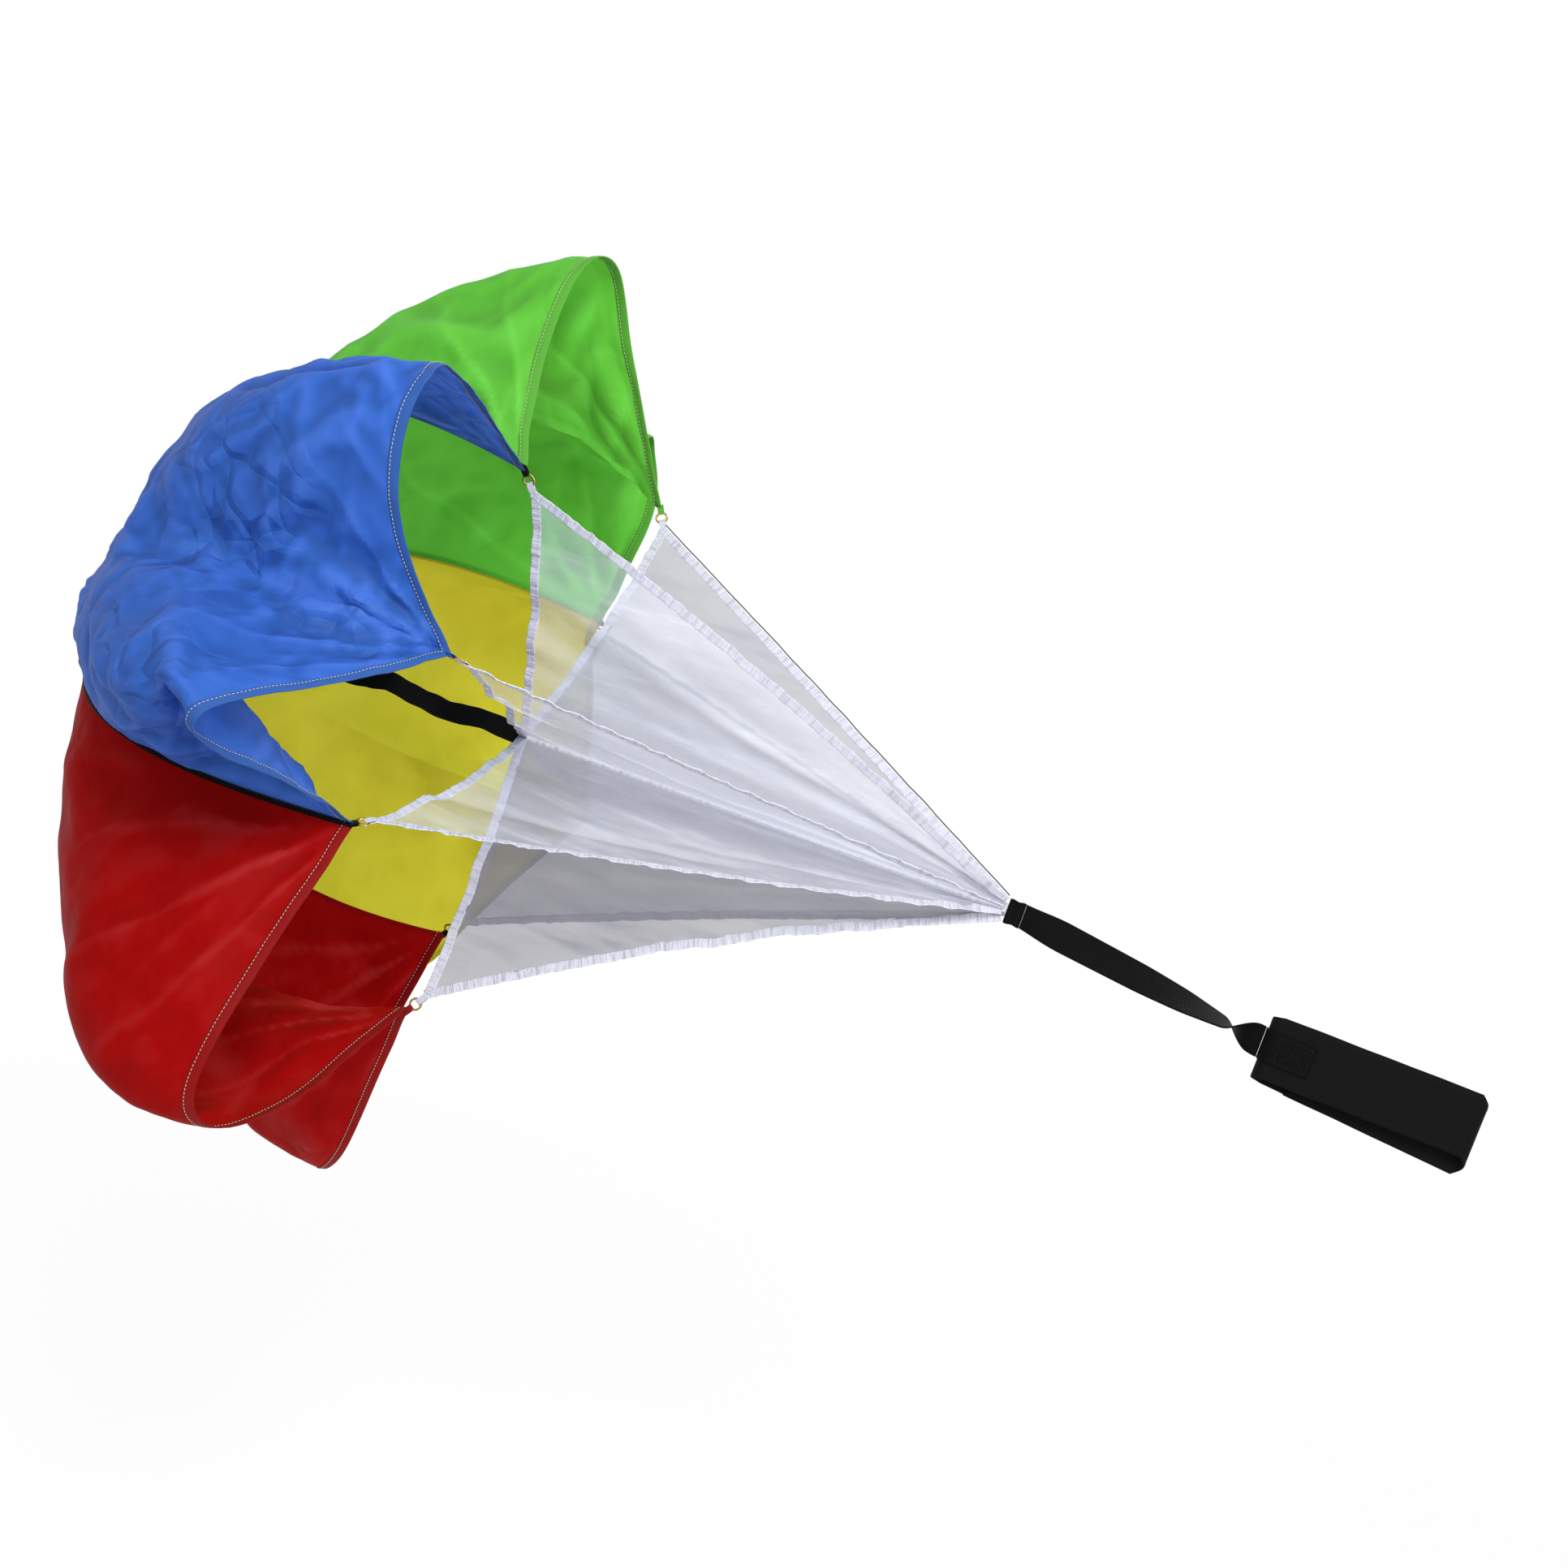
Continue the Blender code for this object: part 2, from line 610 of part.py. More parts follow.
def build_tow_strap(collection, parent):
    """The tow strap, with the half twist that it has just before the belt."""
    start_x = CANOPY_HINGE_X - STRAP_THICKNESS / 2
    end_x = TOW_HINGE_X + STRAP_THICKNESS / 2
    path = []
    turns = []
    widths = []
    for step in range(STRAP_STEPS + 1):
        share = step / STRAP_STEPS
        widths.append(lerp(APEX_TAB_WIDTH, STRAP_WIDTH, min(share / STRAP_GATHER_SHARE, 1.0)))
        height = lerp(APEX_Z, 0.0, share)
        path.append(Vector((lerp(start_x, end_x, share), TOW_Y, height)))
        turns.append(math.radians(table_value(STRAP_TURN_DEGREES, share)))
    mesh = sheet_mesh("tow_strap", ribbon_rows(path, turns, widths))
    strap = add_object("tow_strap", mesh, make_material("tow_strap", (0.01, 0.01, 0.01), 0.7),
                       collection, parent=parent)
    thicken(strap, STRAP_THICKNESS, 0.0)
    soften(strap, STRAP_THICKNESS)
    shade(strap)


def back_drop(x):
    """How far the back layer of the belt hangs below the front one."""
    share = (x - LEFT_FOLD_X) / (RIGHT_FOLD_X - LEFT_FOLD_X)
    return -lerp(BELT_FOLD_DROP, BELT_END_DROP, min(max(share, 0.0), 1.0))


def fold_places(centre_x, centre_y, radius, start_degrees, end_degrees, start_drop, end_drop):
    """Places round a fold of the belt, with the layer sliding down as it turns."""
    places = []
    for step in range(BELT_FOLD_STEPS + 1):
        share = step / BELT_FOLD_STEPS
        angle = math.radians(lerp(start_degrees, end_degrees, share))
        places.append(Vector((
            centre_x + radius * math.cos(angle), centre_y + radius * math.sin(angle),
            lerp(start_drop, end_drop, share))))
    return places


def run_places(start_x, end_x, y, drop):
    """Places along a straight layer of the belt."""
    places = []
    for step in range(BELT_RUN_STEPS + 1):
        x = lerp(start_x, end_x, step / BELT_RUN_STEPS)
        places.append(Vector((x, y, drop(x))))
    return places


def band_path():
    """The band from its inner end, round the right fold, along the front, round the left fold to the flap."""
    tail_x = FLAP_HINGE_X - FLAP_OVERLAP_TAIL
    right_y = (INNER_BACK_Y + FRONT_Y) / 2
    left_y = (FLAP_Y + FRONT_Y) / 2
    end_x = FLAP_HINGE_X - BELT_THICKNESS / 2 - SEAT_GAP
    path = run_places(tail_x, RIGHT_FOLD_X, INNER_BACK_Y, back_drop)[:-1]
    path += fold_places(RIGHT_FOLD_X, right_y, RIGHT_FOLD_RADIUS, 90, -90, back_drop(RIGHT_FOLD_X), 0.0)
    path += run_places(RIGHT_FOLD_X, LEFT_FOLD_X, FRONT_Y, lambda x: 0.0)[1:-1]
    path += fold_places(LEFT_FOLD_X, left_y, LEFT_FOLD_RADIUS, 270, 90, 0.0, back_drop(LEFT_FOLD_X))
    path += run_places(LEFT_FOLD_X, end_x, FLAP_Y, back_drop)[1:]
    return path


def band_rows(path, width):
    """The two edges of a band that stands upright along a path."""
    rise = Vector((0.0, 0.0, width / 2))
    return [(place - rise, place + rise) for place in path]


def build_belt(collection):
    """The waist band, lying as a flattened loop."""
    webbing = make_material("waist_belt", (0.012, 0.012, 0.013), 0.75)
    mesh = sheet_mesh("waist_belt", band_rows(band_path(), BELT_WIDTH))
    belt = add_object("waist_belt", mesh, webbing, collection)
    thicken(belt, BELT_THICKNESS, 0.0)
    soften(belt, BELT_THICKNESS)
    shade(belt)


def build_flap(collection, parent):
    """The outer end of the band, which peels off its hook-and-loop patch."""
    start_x = FLAP_HINGE_X - BELT_THICKNESS / 2
    path = run_places(start_x, start_x + FLAP_LENGTH, FLAP_Y, back_drop)
    mesh = sheet_mesh("belt_flap", band_rows(path, BELT_WIDTH))
    flap = add_object("belt_flap", mesh, make_material("belt_flap", (0.012, 0.012, 0.013), 0.75),
                      collection, parent=parent)
    thicken(flap, BELT_THICKNESS, 0.0)
    soften(flap, BELT_THICKNESS)
    shade(flap)


def build_patches(collection, parent):
    """The loop patch on the band and the hook patch on the flap, face to face."""
    start_x = FLAP_HINGE_X + FLAP_LENGTH - BELT_THICKNESS - PATCH_LENGTH
    loop_y = INNER_BACK_Y + BELT_THICKNESS / 2 + SEAT_GAP + PATCH_THICKNESS / 2
    hook_y = loop_y + PATCH_THICKNESS + SEAT_GAP
    for name, y, home in (("loop_patch", loop_y, None), ("hook_patch", hook_y, parent)):
        path = run_places(start_x, start_x + PATCH_LENGTH - BELT_THICKNESS, y, back_drop)
        mesh = sheet_mesh(name, band_rows(path, PATCH_WIDTH))
        patch = add_object(name, mesh, make_material(name, (0.02, 0.02, 0.02), 0.95), collection, parent=home)
        thicken(patch, PATCH_THICKNESS, 0.0)
        shade(patch)


def build_anchor(collection):
    """The end of the tow strap's webbing, sewn round the belt's left fold."""
    offset = BELT_THICKNESS / 2 + SEAT_GAP + ANCHOR_THICKNESS / 2
    left_y = (FLAP_Y + FRONT_Y) / 2
    path = run_places(LEFT_FOLD_X + ANCHOR_LENGTH, LEFT_FOLD_X, FRONT_Y - offset, lambda x: 0.0)[:-1]
    path += fold_places(LEFT_FOLD_X, left_y, LEFT_FOLD_RADIUS + offset, 270, 180, 0.0, 0.0)
    mesh = sheet_mesh("strap_anchor", band_rows(path, STRAP_WIDTH))
    anchor = add_object("strap_anchor", mesh, make_material("strap_anchor", (0.01, 0.01, 0.01), 0.7), collection)
    thicken(anchor, ANCHOR_THICKNESS, 0.0)
    shade(anchor)


def main():
    """Build the parachute."""
    clear_scene()
    collection = make_collection("speed_parachute")
    tow_hinge = make_empty("tow_hinge", Vector((TOW_HINGE_X, TOW_Y, 0.0)), collection)
    canopy_hinge = make_empty("canopy_hinge", Vector((CANOPY_HINGE_X, TOW_Y, APEX_Z)), collection)
    flap_hinge = make_empty("flap_hinge", Vector((FLAP_HINGE_X, FLAP_Y, 0.0)), collection)
    build_belt(collection)
    build_anchor(collection)
    build_flap(collection, flap_hinge)
    build_patches(collection, flap_hinge)
    build_tow_strap(collection, tow_hinge)
    build_apex_tab(collection, canopy_hinge)
    build_spine(collection, canopy_hinge)
    build_fins(collection, canopy_hinge)
    build_tie_rings(collection, canopy_hinge)
    build_centre_strap(collection, canopy_hinge)
    build_crown_patches(collection, canopy_hinge)
    build_panels(collection, canopy_hinge)
    build_seam_tapes(collection, canopy_hinge)


main()
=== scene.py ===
"""Speed parachute dressed with folded cloth, sheer mesh fins, sewn bindings and webbing.

Metres, in the CAD's frame. +X runs along the tow line from the canopy to the belt, and +Z is up.
Azimuths are turned about the tow line, from straight up towards -Y.
"""

import json
import math

import bmesh
import bpy
import numpy
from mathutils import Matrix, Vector, noise

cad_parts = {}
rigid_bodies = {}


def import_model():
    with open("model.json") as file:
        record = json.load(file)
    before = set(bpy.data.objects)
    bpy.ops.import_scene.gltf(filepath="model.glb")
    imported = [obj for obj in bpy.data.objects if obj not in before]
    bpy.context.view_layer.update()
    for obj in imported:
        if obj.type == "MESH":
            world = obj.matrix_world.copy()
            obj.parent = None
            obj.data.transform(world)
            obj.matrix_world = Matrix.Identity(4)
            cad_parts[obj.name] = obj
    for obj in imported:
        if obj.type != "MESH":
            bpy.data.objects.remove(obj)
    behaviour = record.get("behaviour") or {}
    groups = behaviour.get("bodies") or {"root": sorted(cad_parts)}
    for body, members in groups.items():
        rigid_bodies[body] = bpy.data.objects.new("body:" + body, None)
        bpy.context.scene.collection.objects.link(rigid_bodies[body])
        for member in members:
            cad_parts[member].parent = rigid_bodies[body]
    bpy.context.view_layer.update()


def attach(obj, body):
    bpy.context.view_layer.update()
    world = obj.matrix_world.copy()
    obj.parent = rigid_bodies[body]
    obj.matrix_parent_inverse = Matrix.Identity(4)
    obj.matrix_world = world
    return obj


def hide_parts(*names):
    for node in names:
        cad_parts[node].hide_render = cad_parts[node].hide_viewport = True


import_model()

bl_info = {
    "name": "Speed Parachute",
    "version": (1, 0, 0),
    "blender": (4, 5, 0),
    "location": "3D View > Sidebar > Parachute",
    "description": "Cloth, mesh fins, bindings, webbing and belt of a speed parachute",
    "category": "Object",
}

# Canopy form, as in the CAD
SEAT_GAP = 0.0003
TIP_COUNT = 8
TIP_RADIUS = 0.340
LOBE_RADIUS = 0.585
LOBE_SETBACK = 0.090
CANOPY_DEPTH = 0.510
CROWN_HOLE_RADIUS = 0.012
CROWN_FLAT_RADIUS = 0.036
PANEL_THICKNESS = 0.0016
TIP_TURN_DEGREES = (-1.0, 0.0, 3.6, -3.3, 0.3, 0.4, 0.0, 0.0)
TIP_RADIUS_SHARES = (1.0, 1.0, 1.0, 0.955, 1.065, 0.975, 1.0, 1.0)
TIP_FORWARD_SHARES = (0.115, -0.14, 0.03, -0.13, 0.065, -0.17, 0.07, -0.14)
LOBE_RADIUS_SHARES = (1.0, 0.97, 1.02, 1.06, 1.04, 1.0, 0.97, 0.92)
LOBE_SETBACK_SHARES = (0.8, 0.75, 1.28, 0.82, 0.88, 1.7, 1.2, 1.0)
HEM_SCOOP_SHARES = (0.0, 0.07, 0.0, 0.0, 0.0, 0.03, 0.03, 0.0)
VALLEY_BULGE_SHARES = (1.28, 1.10)
VALLEY_BULGE_DEPTH_SHARE = 0.43
VALLEY_SHOULDER_SHARES = (1.27, 1.15)
RIDGE_BULGE_SHARES = (0.92, 1.0, 1.05, 1.07, 1.09, 1.08, 1.06, 1.0)
RIDGE_BULGE_DEPTH_SHARE = 0.40
RIDGE_SHOULDER_SHARE = 0.61
HEM_ARCH_SHARES = ((0.72, 0.45), (0.50, 1.0))
CROWN_ARCH_SHARES = ((0.684, 0.658), (0.342, 1.0))
SEAM_NEAR_ACROSS = 5.0 / 6.0
SEAM_TAPE_WIDTH = 0.014
SEAM_TAPE_THICKNESS = 0.0010
CROWN_PATCH_RADIUS = 0.032
CROWN_PATCH_THICKNESS = 0.0020
CENTRE_STRAP_WIDTH = 0.025
CENTRE_STRAP_THICKNESS = 0.0020
CENTRE_STRAP_TURN_DEGREES = 60.0

# Fins, as in the CAD
FIN_LENGTH = 0.638
FIN_TAPE_WIDTH = 0.0115
FIN_TAPE_THICKNESS = 0.0018
FIN_BULGE = 0.016
FIN_BULGE_SHARES = (0.1, 1.0, -0.6, 0.7, -1.3, -0.4, 0.3, 0.3)
FIN_RIPPLES = (0.0008, 0.0014, 0.0016, 0.0020, 0.0055, 0.0020, 0.0015, 0.0015)
FIN_BILLOW = 0.020
FIN_LEAST_SHARE = 0.35
SLOPE_STEP_SHARE = 0.01
SPINE_RADIUS = 0.0030
APEX_RISE = 0.015
APEX_HALF_DEPTH = 0.008
# How much painted shade each fin's mesh carries: fins 0, 4 and 5 are painted greyer and more opaque for the shade they
# lie in
FIN_PAINTED_SHADE_SHARES = (1.0, 0.0, 0.0, 0.0, 1.15, 0.90, 0.2, 0.2)
BASE_BOW_SHARES = (0.03, 0.02, 0.02, 0.05, 0.01, 0.02, 0.02, 0.02)
RING_RADIUS = 0.0070
RING_WIRE_RADIUS = 0.0014

# Strap and belt, as in the CAD
STRAP_WIDTH = 0.038
STRAP_THICKNESS = 0.0025
STRAP_SPAN = 0.302
STRAP_TURN_DEGREES = ((0.0, 0.0), (0.14, 24.0), (0.50, 38.0), (0.68, 55.0), (0.86, 82.0), (0.97, 180.0), (1.0, 180.0))
APEX_TAB_LENGTH = 0.020
APEX_TAB_WIDTH = 0.030
STRAP_GATHER_SHARE = 0.12
BELT_WIDTH = 0.076
BELT_THICKNESS = 0.0025
BELT_LOOP_LENGTH = 0.2535
BELT_LOOP_GAP = 0.016
BELT_FOLD_DROP = 0.010
BELT_END_DROP = 0.026
FLAP_LENGTH = 0.110
FLAP_ROOT_INSET = 0.040
FLAP_OVERLAP_TAIL = 0.012
PATCH_LENGTH = 0.070
PATCH_WIDTH = 0.050
PATCH_THICKNESS = 0.0012
ANCHOR_LENGTH = 0.045
ANCHOR_THICKNESS = 0.0016
INNER_BACK_Y = BELT_LOOP_GAP + BELT_THICKNESS / 2
FLAP_Y = INNER_BACK_Y + BELT_THICKNESS + 2 * PATCH_THICKNESS + 3 * SEAT_GAP
FRONT_Y = -BELT_THICKNESS / 2
RIGHT_FOLD_RADIUS = (INNER_BACK_Y - FRONT_Y) / 2
LEFT_FOLD_RADIUS = (FLAP_Y - FRONT_Y) / 2
RIGHT_FOLD_X = BELT_LOOP_LENGTH / 2 - BELT_THICKNESS / 2 - RIGHT_FOLD_RADIUS
LEFT_FOLD_X = -BELT_LOOP_LENGTH / 2 + BELT_THICKNESS / 2 + LEFT_FOLD_RADIUS
FLAP_HINGE_X = LEFT_FOLD_X + FLAP_ROOT_INSET
TOW_Y = (FLAP_Y + FRONT_Y) / 2
TOW_HINGE_X = -BELT_LOOP_LENGTH / 2 - 2 * SEAT_GAP - ANCHOR_THICKNESS - STRAP_THICKNESS / 2
CANOPY_HINGE_X = TOW_HINGE_X - STRAP_SPAN
TAB_FRONT_X = CANOPY_HINGE_X - STRAP_THICKNESS / 2 - SEAT_GAP
APEX_X = TAB_FRONT_X - APEX_TAB_LENGTH - SEAT_GAP
HUB_X = APEX_X - FIN_LENGTH
AXIS_Z = 0.021
APEX_Z = AXIS_Z + APEX_RISE
CROWN_X = HUB_X - CANOPY_DEPTH

# Steps that the cloth is woven out of
LOBE_STEPS = 88
CROWN_STEPS = 120
FIN_LONG_STEPS = 110
FIN_CROSS_STEPS = 44
BINDING_STEPS = 260
STRAP_STEPS = 160

# Panels: name, first lobe, slot, how much it is crumpled and how much it folds out of its tips
PANELS = (
    ("panel_blue", 1, "blue_cloth", 1.0, 1.0),
    ("panel_red", 3, "red_cloth", 0.20, 0.5),
    ("panel_yellow", 5, "yellow_cloth", 0.12, 0.4),
    ("panel_green", 7, "green_cloth", 0.22, 0.8),
)

# How much darker the hems are painted where the cloth lies double: painted shade for the doubled cloth, which lets less
# light through from behind
HEM_PAINTED_SHADES = {"blue": 0.62, "red": 0.62, "yellow": 0.88, "green": 0.68}

# Spare width, bending stiffness, hold on the smooth form and size of the first disturbance
SLACKS = {
    "panel_blue": (0.036, 0.60, 0.022, 0.13, 1),
    "panel_red": (0.026, 1.5, 0.012, 0.18, 3),
    "panel_yellow": (0.018, 1.5, 0.012, 0.22, 3),
    "panel_green": (0.042, 1.0, 0.018, 0.14, 2),
}
SLACK_FRAMES = 20
SLACK_SPREAD = 9
SLACK_SHARE = 0.75
SLACK_SEAM_FADE = 0.075
SLACK_LIMIT = 0.018

# Where a lobe is slack: lobe, across and its reach, share and its reach, how far the cloth moves
PULLS = (
    (0, 0.55, 0.45, 0.0, 0.22, (-0.0146, -0.0040, -0.0052)),
    (0, -0.45, 0.38, 0.0, 0.20, (-0.0190, -0.0050, -0.0060)),
    (1, 0.65, 0.30, 0.0, 0.15, (-0.0110, -0.0030, -0.0040)),
    (2, -0.55, 0.40, 0.0, 0.10, (0.0040, -0.0010, -0.0120)),
    (2, 0.48, 0.46, 0.13, 0.10, (-0.0100, 0.0200, 0.0780)),
    (3, -0.35, 0.45, 0.0, 0.20, (0.0180, 0.0050, 0.0065)),
    (3, 0.45, 0.35, 0.0, 0.25, (0.0220, -0.0060, -0.0040)),
    (3, 0.10, 0.45, 0.25, 0.20, (-0.0080, -0.0100, -0.0140)),
    (4, -0.40, 0.40, 0.0, 0.30, (0.0190, 0.0000, -0.0070)),
    (7, -0.45, 0.42, 0.0, 0.15, (0.0360, 0.0090, 0.0120)),
    (7, 0.62, 0.30, 0.0, 0.14, (-0.0320, -0.0085, -0.0110)),
)


# ---- Sums ----

def lerp(a, b, share):
    """The value a share of the way from a to b."""
    return a + (b - a) * share


def smooth(low, high, value):
    """0 below low and 1 above high, with an eased way between."""
    share = min(max((value - low) / (high - low), 0.0), 1.0)
    return share * share * (3 - 2 * share)


def bezier(points, share):
    """A point on a cubic Bezier curve."""
    rest = 1 - share
    weights = (rest ** 3, 3 * rest * rest * share, 3 * rest * share * share, share ** 3)
    total = points[0] * weights[0]
    for point, weight in zip(points[1:], weights[1:]):
        total = total + point * weight
    return total


def table_value(table, share):
    """A straight reading between the rows of a (share, value) table."""
    for (start, low), (end, high) in zip(table, table[1:]):
        if share <= end:
            return lerp(low, high, (share - start) / (end - start))
    return table[-1][1]


# ---- The canopy's form ----

def canopy_place(radius, azimuth, forward):
    """A place round the tow line, measured forward from the hub where the fins start."""
    return Vector((HUB_X + forward, TOW_Y - radius * math.sin(azimuth), AXIS_Z + radius * math.cos(azimuth)))


def tip_azimuth(tip):
    """The azimuth of a canopy tip; tip 0 is just beyond straight up."""
    step = 360.0 / TIP_COUNT
    return math.radians(step * tip - step / 2 + TIP_TURN_DEGREES[tip % TIP_COUNT])


def tip_azimuth_after(lobe):
    """The azimuth of the tip that ends a lobe, counted on past a full turn."""
    azimuth = tip_azimuth(lobe + 1)
    return azimuth + 2 * math.pi if azimuth < tip_azimuth(lobe) else azimuth


def tip_place(tip):
    """Where the canopy's tip is."""
    index = tip % TIP_COUNT
    radius = TIP_RADIUS * TIP_RADIUS_SHARES[index]
    return canopy_place(radius, tip_azimuth(tip), TIP_RADIUS * TIP_FORWARD_SHARES[index])


def valley_place(tip, share):
    """A place on the valley that runs from a tip to the crown."""
    index = tip % TIP_COUNT
    radius = TIP_RADIUS * TIP_RADIUS_SHARES[index]
    controls = (
        Vector((radius, TIP_RADIUS * TIP_FORWARD_SHARES[index])),
        Vector((radius * VALLEY_BULGE_SHARES[index % 2], -CANOPY_DEPTH * VALLEY_BULGE_DEPTH_SHARE)),
        Vector((TIP_RADIUS * VALLEY_SHOULDER_SHARES[index % 2], -CANOPY_DEPTH)),
        Vector((CROWN_FLAT_RADIUS, -CANOPY_DEPTH)),
    )
    spot = bezier(controls, share)
    return canopy_place(spot.x, tip_azimuth(tip), spot.y)


def ridge_place(lobe, share):
    """A place on the ridge of a lobe, from its hem to the crown."""
    index = lobe % TIP_COUNT
    radius = LOBE_RADIUS * LOBE_RADIUS_SHARES[index]
    controls = (
        Vector((radius, -LOBE_SETBACK * LOBE_SETBACK_SHARES[index])),
        Vector((radius * RIDGE_BULGE_SHARES[index], -CANOPY_DEPTH * RIDGE_BULGE_DEPTH_SHARE)),
        Vector((LOBE_RADIUS * RIDGE_SHOULDER_SHARE, -CANOPY_DEPTH)),
        Vector((CROWN_FLAT_RADIUS, -CANOPY_DEPTH)),
    )
    spot = bezier(controls, share)
    return canopy_place(spot.x, (tip_azimuth(lobe) + tip_azimuth_after(lobe)) / 2, spot.y)


def lobe_frame(lobe, share):
    """The middle, half chord, rise and arch controls of a lobe's row."""
    start = valley_place(lobe, share)
    end = valley_place(lobe + 1, share)
    middle = (start + end) / 2
    arch = []
    for hem, crown in zip(HEM_ARCH_SHARES, CROWN_ARCH_SHARES):
        arch.append(Vector((lerp(hem[0], crown[0], share), lerp(hem[1], crown[1], share))))
    return middle, (end - start) / 2, ridge_place(lobe, share) - middle, arch


def arch_place(lobe, share, across, row=None):
    """A place on a lobe: share runs from hem to crown, across from -1 at one tip to 1 at the next."""
    middle, half, rise, arch = row or lobe_frame(lobe, share)
    spot = bezier((Vector((1.0, 0.0)), arch[0], arch[1], Vector((0.0, 1.0))), 1 - abs(across))
    scoop = TIP_RADIUS * HEM_SCOOP_SHARES[lobe % TIP_COUNT] * (1 - share) ** 2
    back = scoop * math.sin(math.pi * max(across, 0.0))
    return middle + half * math.copysign(spot.x, across) + rise * spot.y - Vector((back, 0.0, 0.0))


# ---- The fins' form ----

def outward_way(tip):
    """The way from the tow line out to a tip."""
    azimuth = tip_azimuth(tip)
    return Vector((0.0, -math.sin(azimuth), math.cos(azimuth)))


def apex_place(tip):
    """Where a fin's leading edge meets the tab at the apex."""
    azimuth = tip_azimuth(tip)
    return Vector((APEX_X, TOW_Y - APEX_HALF_DEPTH * math.sin(azimuth), APEX_Z + APEX_TAB_WIDTH / 2 * math.cos(azimuth)))


def corner_way(tip):
    """The way from a canopy tip to its fin's corner."""
    return ((apex_place(tip) - tip_place(tip)).normalized() - outward_way(tip)).normalized()


def fin_corner(tip):
    """The fin's outer corner, a ring's width in from the canopy's tip."""
    span = PANEL_THICKNESS + 2 * (RING_RADIUS + RING_WIRE_RADIUS + SEAT_GAP)
    return tip_place(tip) + corner_way(tip) * span


def spine_place(tip, share):
    """The fin's inner edge, beside the spine that all the fins are sewn to."""
    inner = canopy_place(SPINE_RADIUS + 2 * SEAT_GAP, tip_azimuth(tip), FIN_LENGTH * share)
    return inner + Vector((0.0, 0.0, APEX_RISE * share))


def leading_place(tip, share):
    """The fin's leading edge, bulged a little outwards."""
    bulge = FIN_BULGE * FIN_BULGE_SHARES[tip] * math.sin(math.pi * share)
    ripple = noise.noise(Vector((share * 11.0, tip * 5.3, 2.0))) + 0.4 * noise.noise(Vector((share * 27.0, tip, 8.0)))
    bulge += FIN_RIPPLES[tip] * ripple * math.sin(math.pi * share)
    return fin_corner(tip).lerp(apex_place(tip), share) + outward_way(tip) * bulge


def fin_place(tip, share, across):
    """A place on a fin: share runs from base to apex, across from the spine to the leading edge."""
    sideways = Vector((1.0, 0.0, 0.0)).cross(outward_way(tip))
    place = spine_place(tip, share).lerp(leading_place(tip, share), across)
    bow = TIP_RADIUS * BASE_BOW_SHARES[tip] * 4 * across * (1 - across) * (1 - share) ** 3
    billow = FIN_BILLOW * math.sin(math.pi * share) * (1 - share) * math.sin(math.pi * across)
    return place + Vector((bow, 0.0, 0.0)) + sideways * billow


def tape_edge(tip, share, margin):
    """How far across the fin a margin in from the leading edge lies."""
    row = leading_place(tip, share) - spine_place(tip, share)
    before = leading_place(tip, max(share - SLOPE_STEP_SHARE, 0.0))
    after = leading_place(tip, min(share + SLOPE_STEP_SHARE, 1.0))
    slant = row.normalized().cross((after - before).normalized()).length
    return max(1 - margin / (row.length * slant), FIN_LEAST_SHARE)


# ---- Meshes ----

def deselect():
    """Nothing selected, in object mode."""
    bpy.ops.object.select_all(action="DESELECT")


def select_only(piece):
    """Select one piece and make it active."""
    deselect()
    piece.select_set(True)
    bpy.context.view_layer.objects.active = piece


def add_piece(name, mesh, material, body, nodes=()):
    """Put a finished mesh into the scene as a piece that rides on a body."""
    piece = bpy.data.objects.new(name, mesh)
    bpy.context.scene.collection.objects.link(piece)
    mesh.materials.clear()
    mesh.materials.append(material)
    mesh.shade_smooth()
    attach(piece, body)
    if nodes:
        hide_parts(*nodes)
    return piece


def apply_wall(piece, thickness, offset=0.0):
    """Give an open sheet its wall."""
    select_only(piece)
    wall = piece.modifiers.new("wall", "SOLIDIFY")
    wall.thickness = thickness
    wall.offset = offset
    bpy.ops.object.modifier_apply(modifier=wall.name)
    bpy.ops.object.shade_smooth_by_angle(angle=math.radians(50))


def row_lengths(rows):
    """How far each place lies across its row and up its column."""
    over = []
    up = []
    for index, row in enumerate(rows):
        line = [0.0]
        for left, right in zip(row, row[1:]):
            line.append(line[-1] + (right - left).length)
        over.append(line)
        if index == 0:
            up.append([0.0] * len(row))
        else:
            up.append([low + (place - under).length for low, place, under in zip(up[-1], row, rows[index - 1])])
    return over, up


def sheet_mesh(name, rows, folds=None, dim=None):
    """A sheet of quads through rows of places, with its UV in metres, its folds and its painted shade."""
    count = len(rows[0])
    faces = []
    for low in range(len(rows) - 1):
        for left in range(count - 1):
            start = low * count + left
            faces.append((start, start + count, start + count + 1, start + 1))
    mesh = bpy.data.meshes.new(name)
    mesh.from_pydata([place for row in rows for place in row], [], faces)
    over, up = row_lengths(rows)
    corners = [(over[i][j], up[i][j]) for i in range(len(rows)) for j in range(count)]
    layer = mesh.uv_layers.new(name="cloth")
    for loop in mesh.loops:
        layer.data[loop.index].uv = corners[loop.vertex_index]
    if folds is not None:
        fold = mesh.attributes.new("fold", "FLOAT", "POINT")
        fold.data.foreach_set("value", [value for row in folds for value in row])
    mesh.update()
    # Painted shade: one darkening value for the whole sheet, read by the mesh material
    if dim is not None:
        painted_shade_layer = mesh.attributes.new("dim", "FLOAT", "POINT")
        painted_shade_layer.data.foreach_set("value", [dim] * len(mesh.vertices))
    return mesh


def webbing_section():
    """Half of a webbing's cross-section, from edge to edge: across and up, from -1 to 1."""
    return ((-1.0, 0.0), (-0.985, 0.62), (-0.955, 0.93), (-0.90, 1.0), (-0.82, 0.96), (-0.5, 0.92), (0.0, 0.9),
            (0.5, 0.92), (0.82, 0.96), (0.90, 1.0), (0.955, 0.93), (0.985, 0.62), (1.0, 0.0))


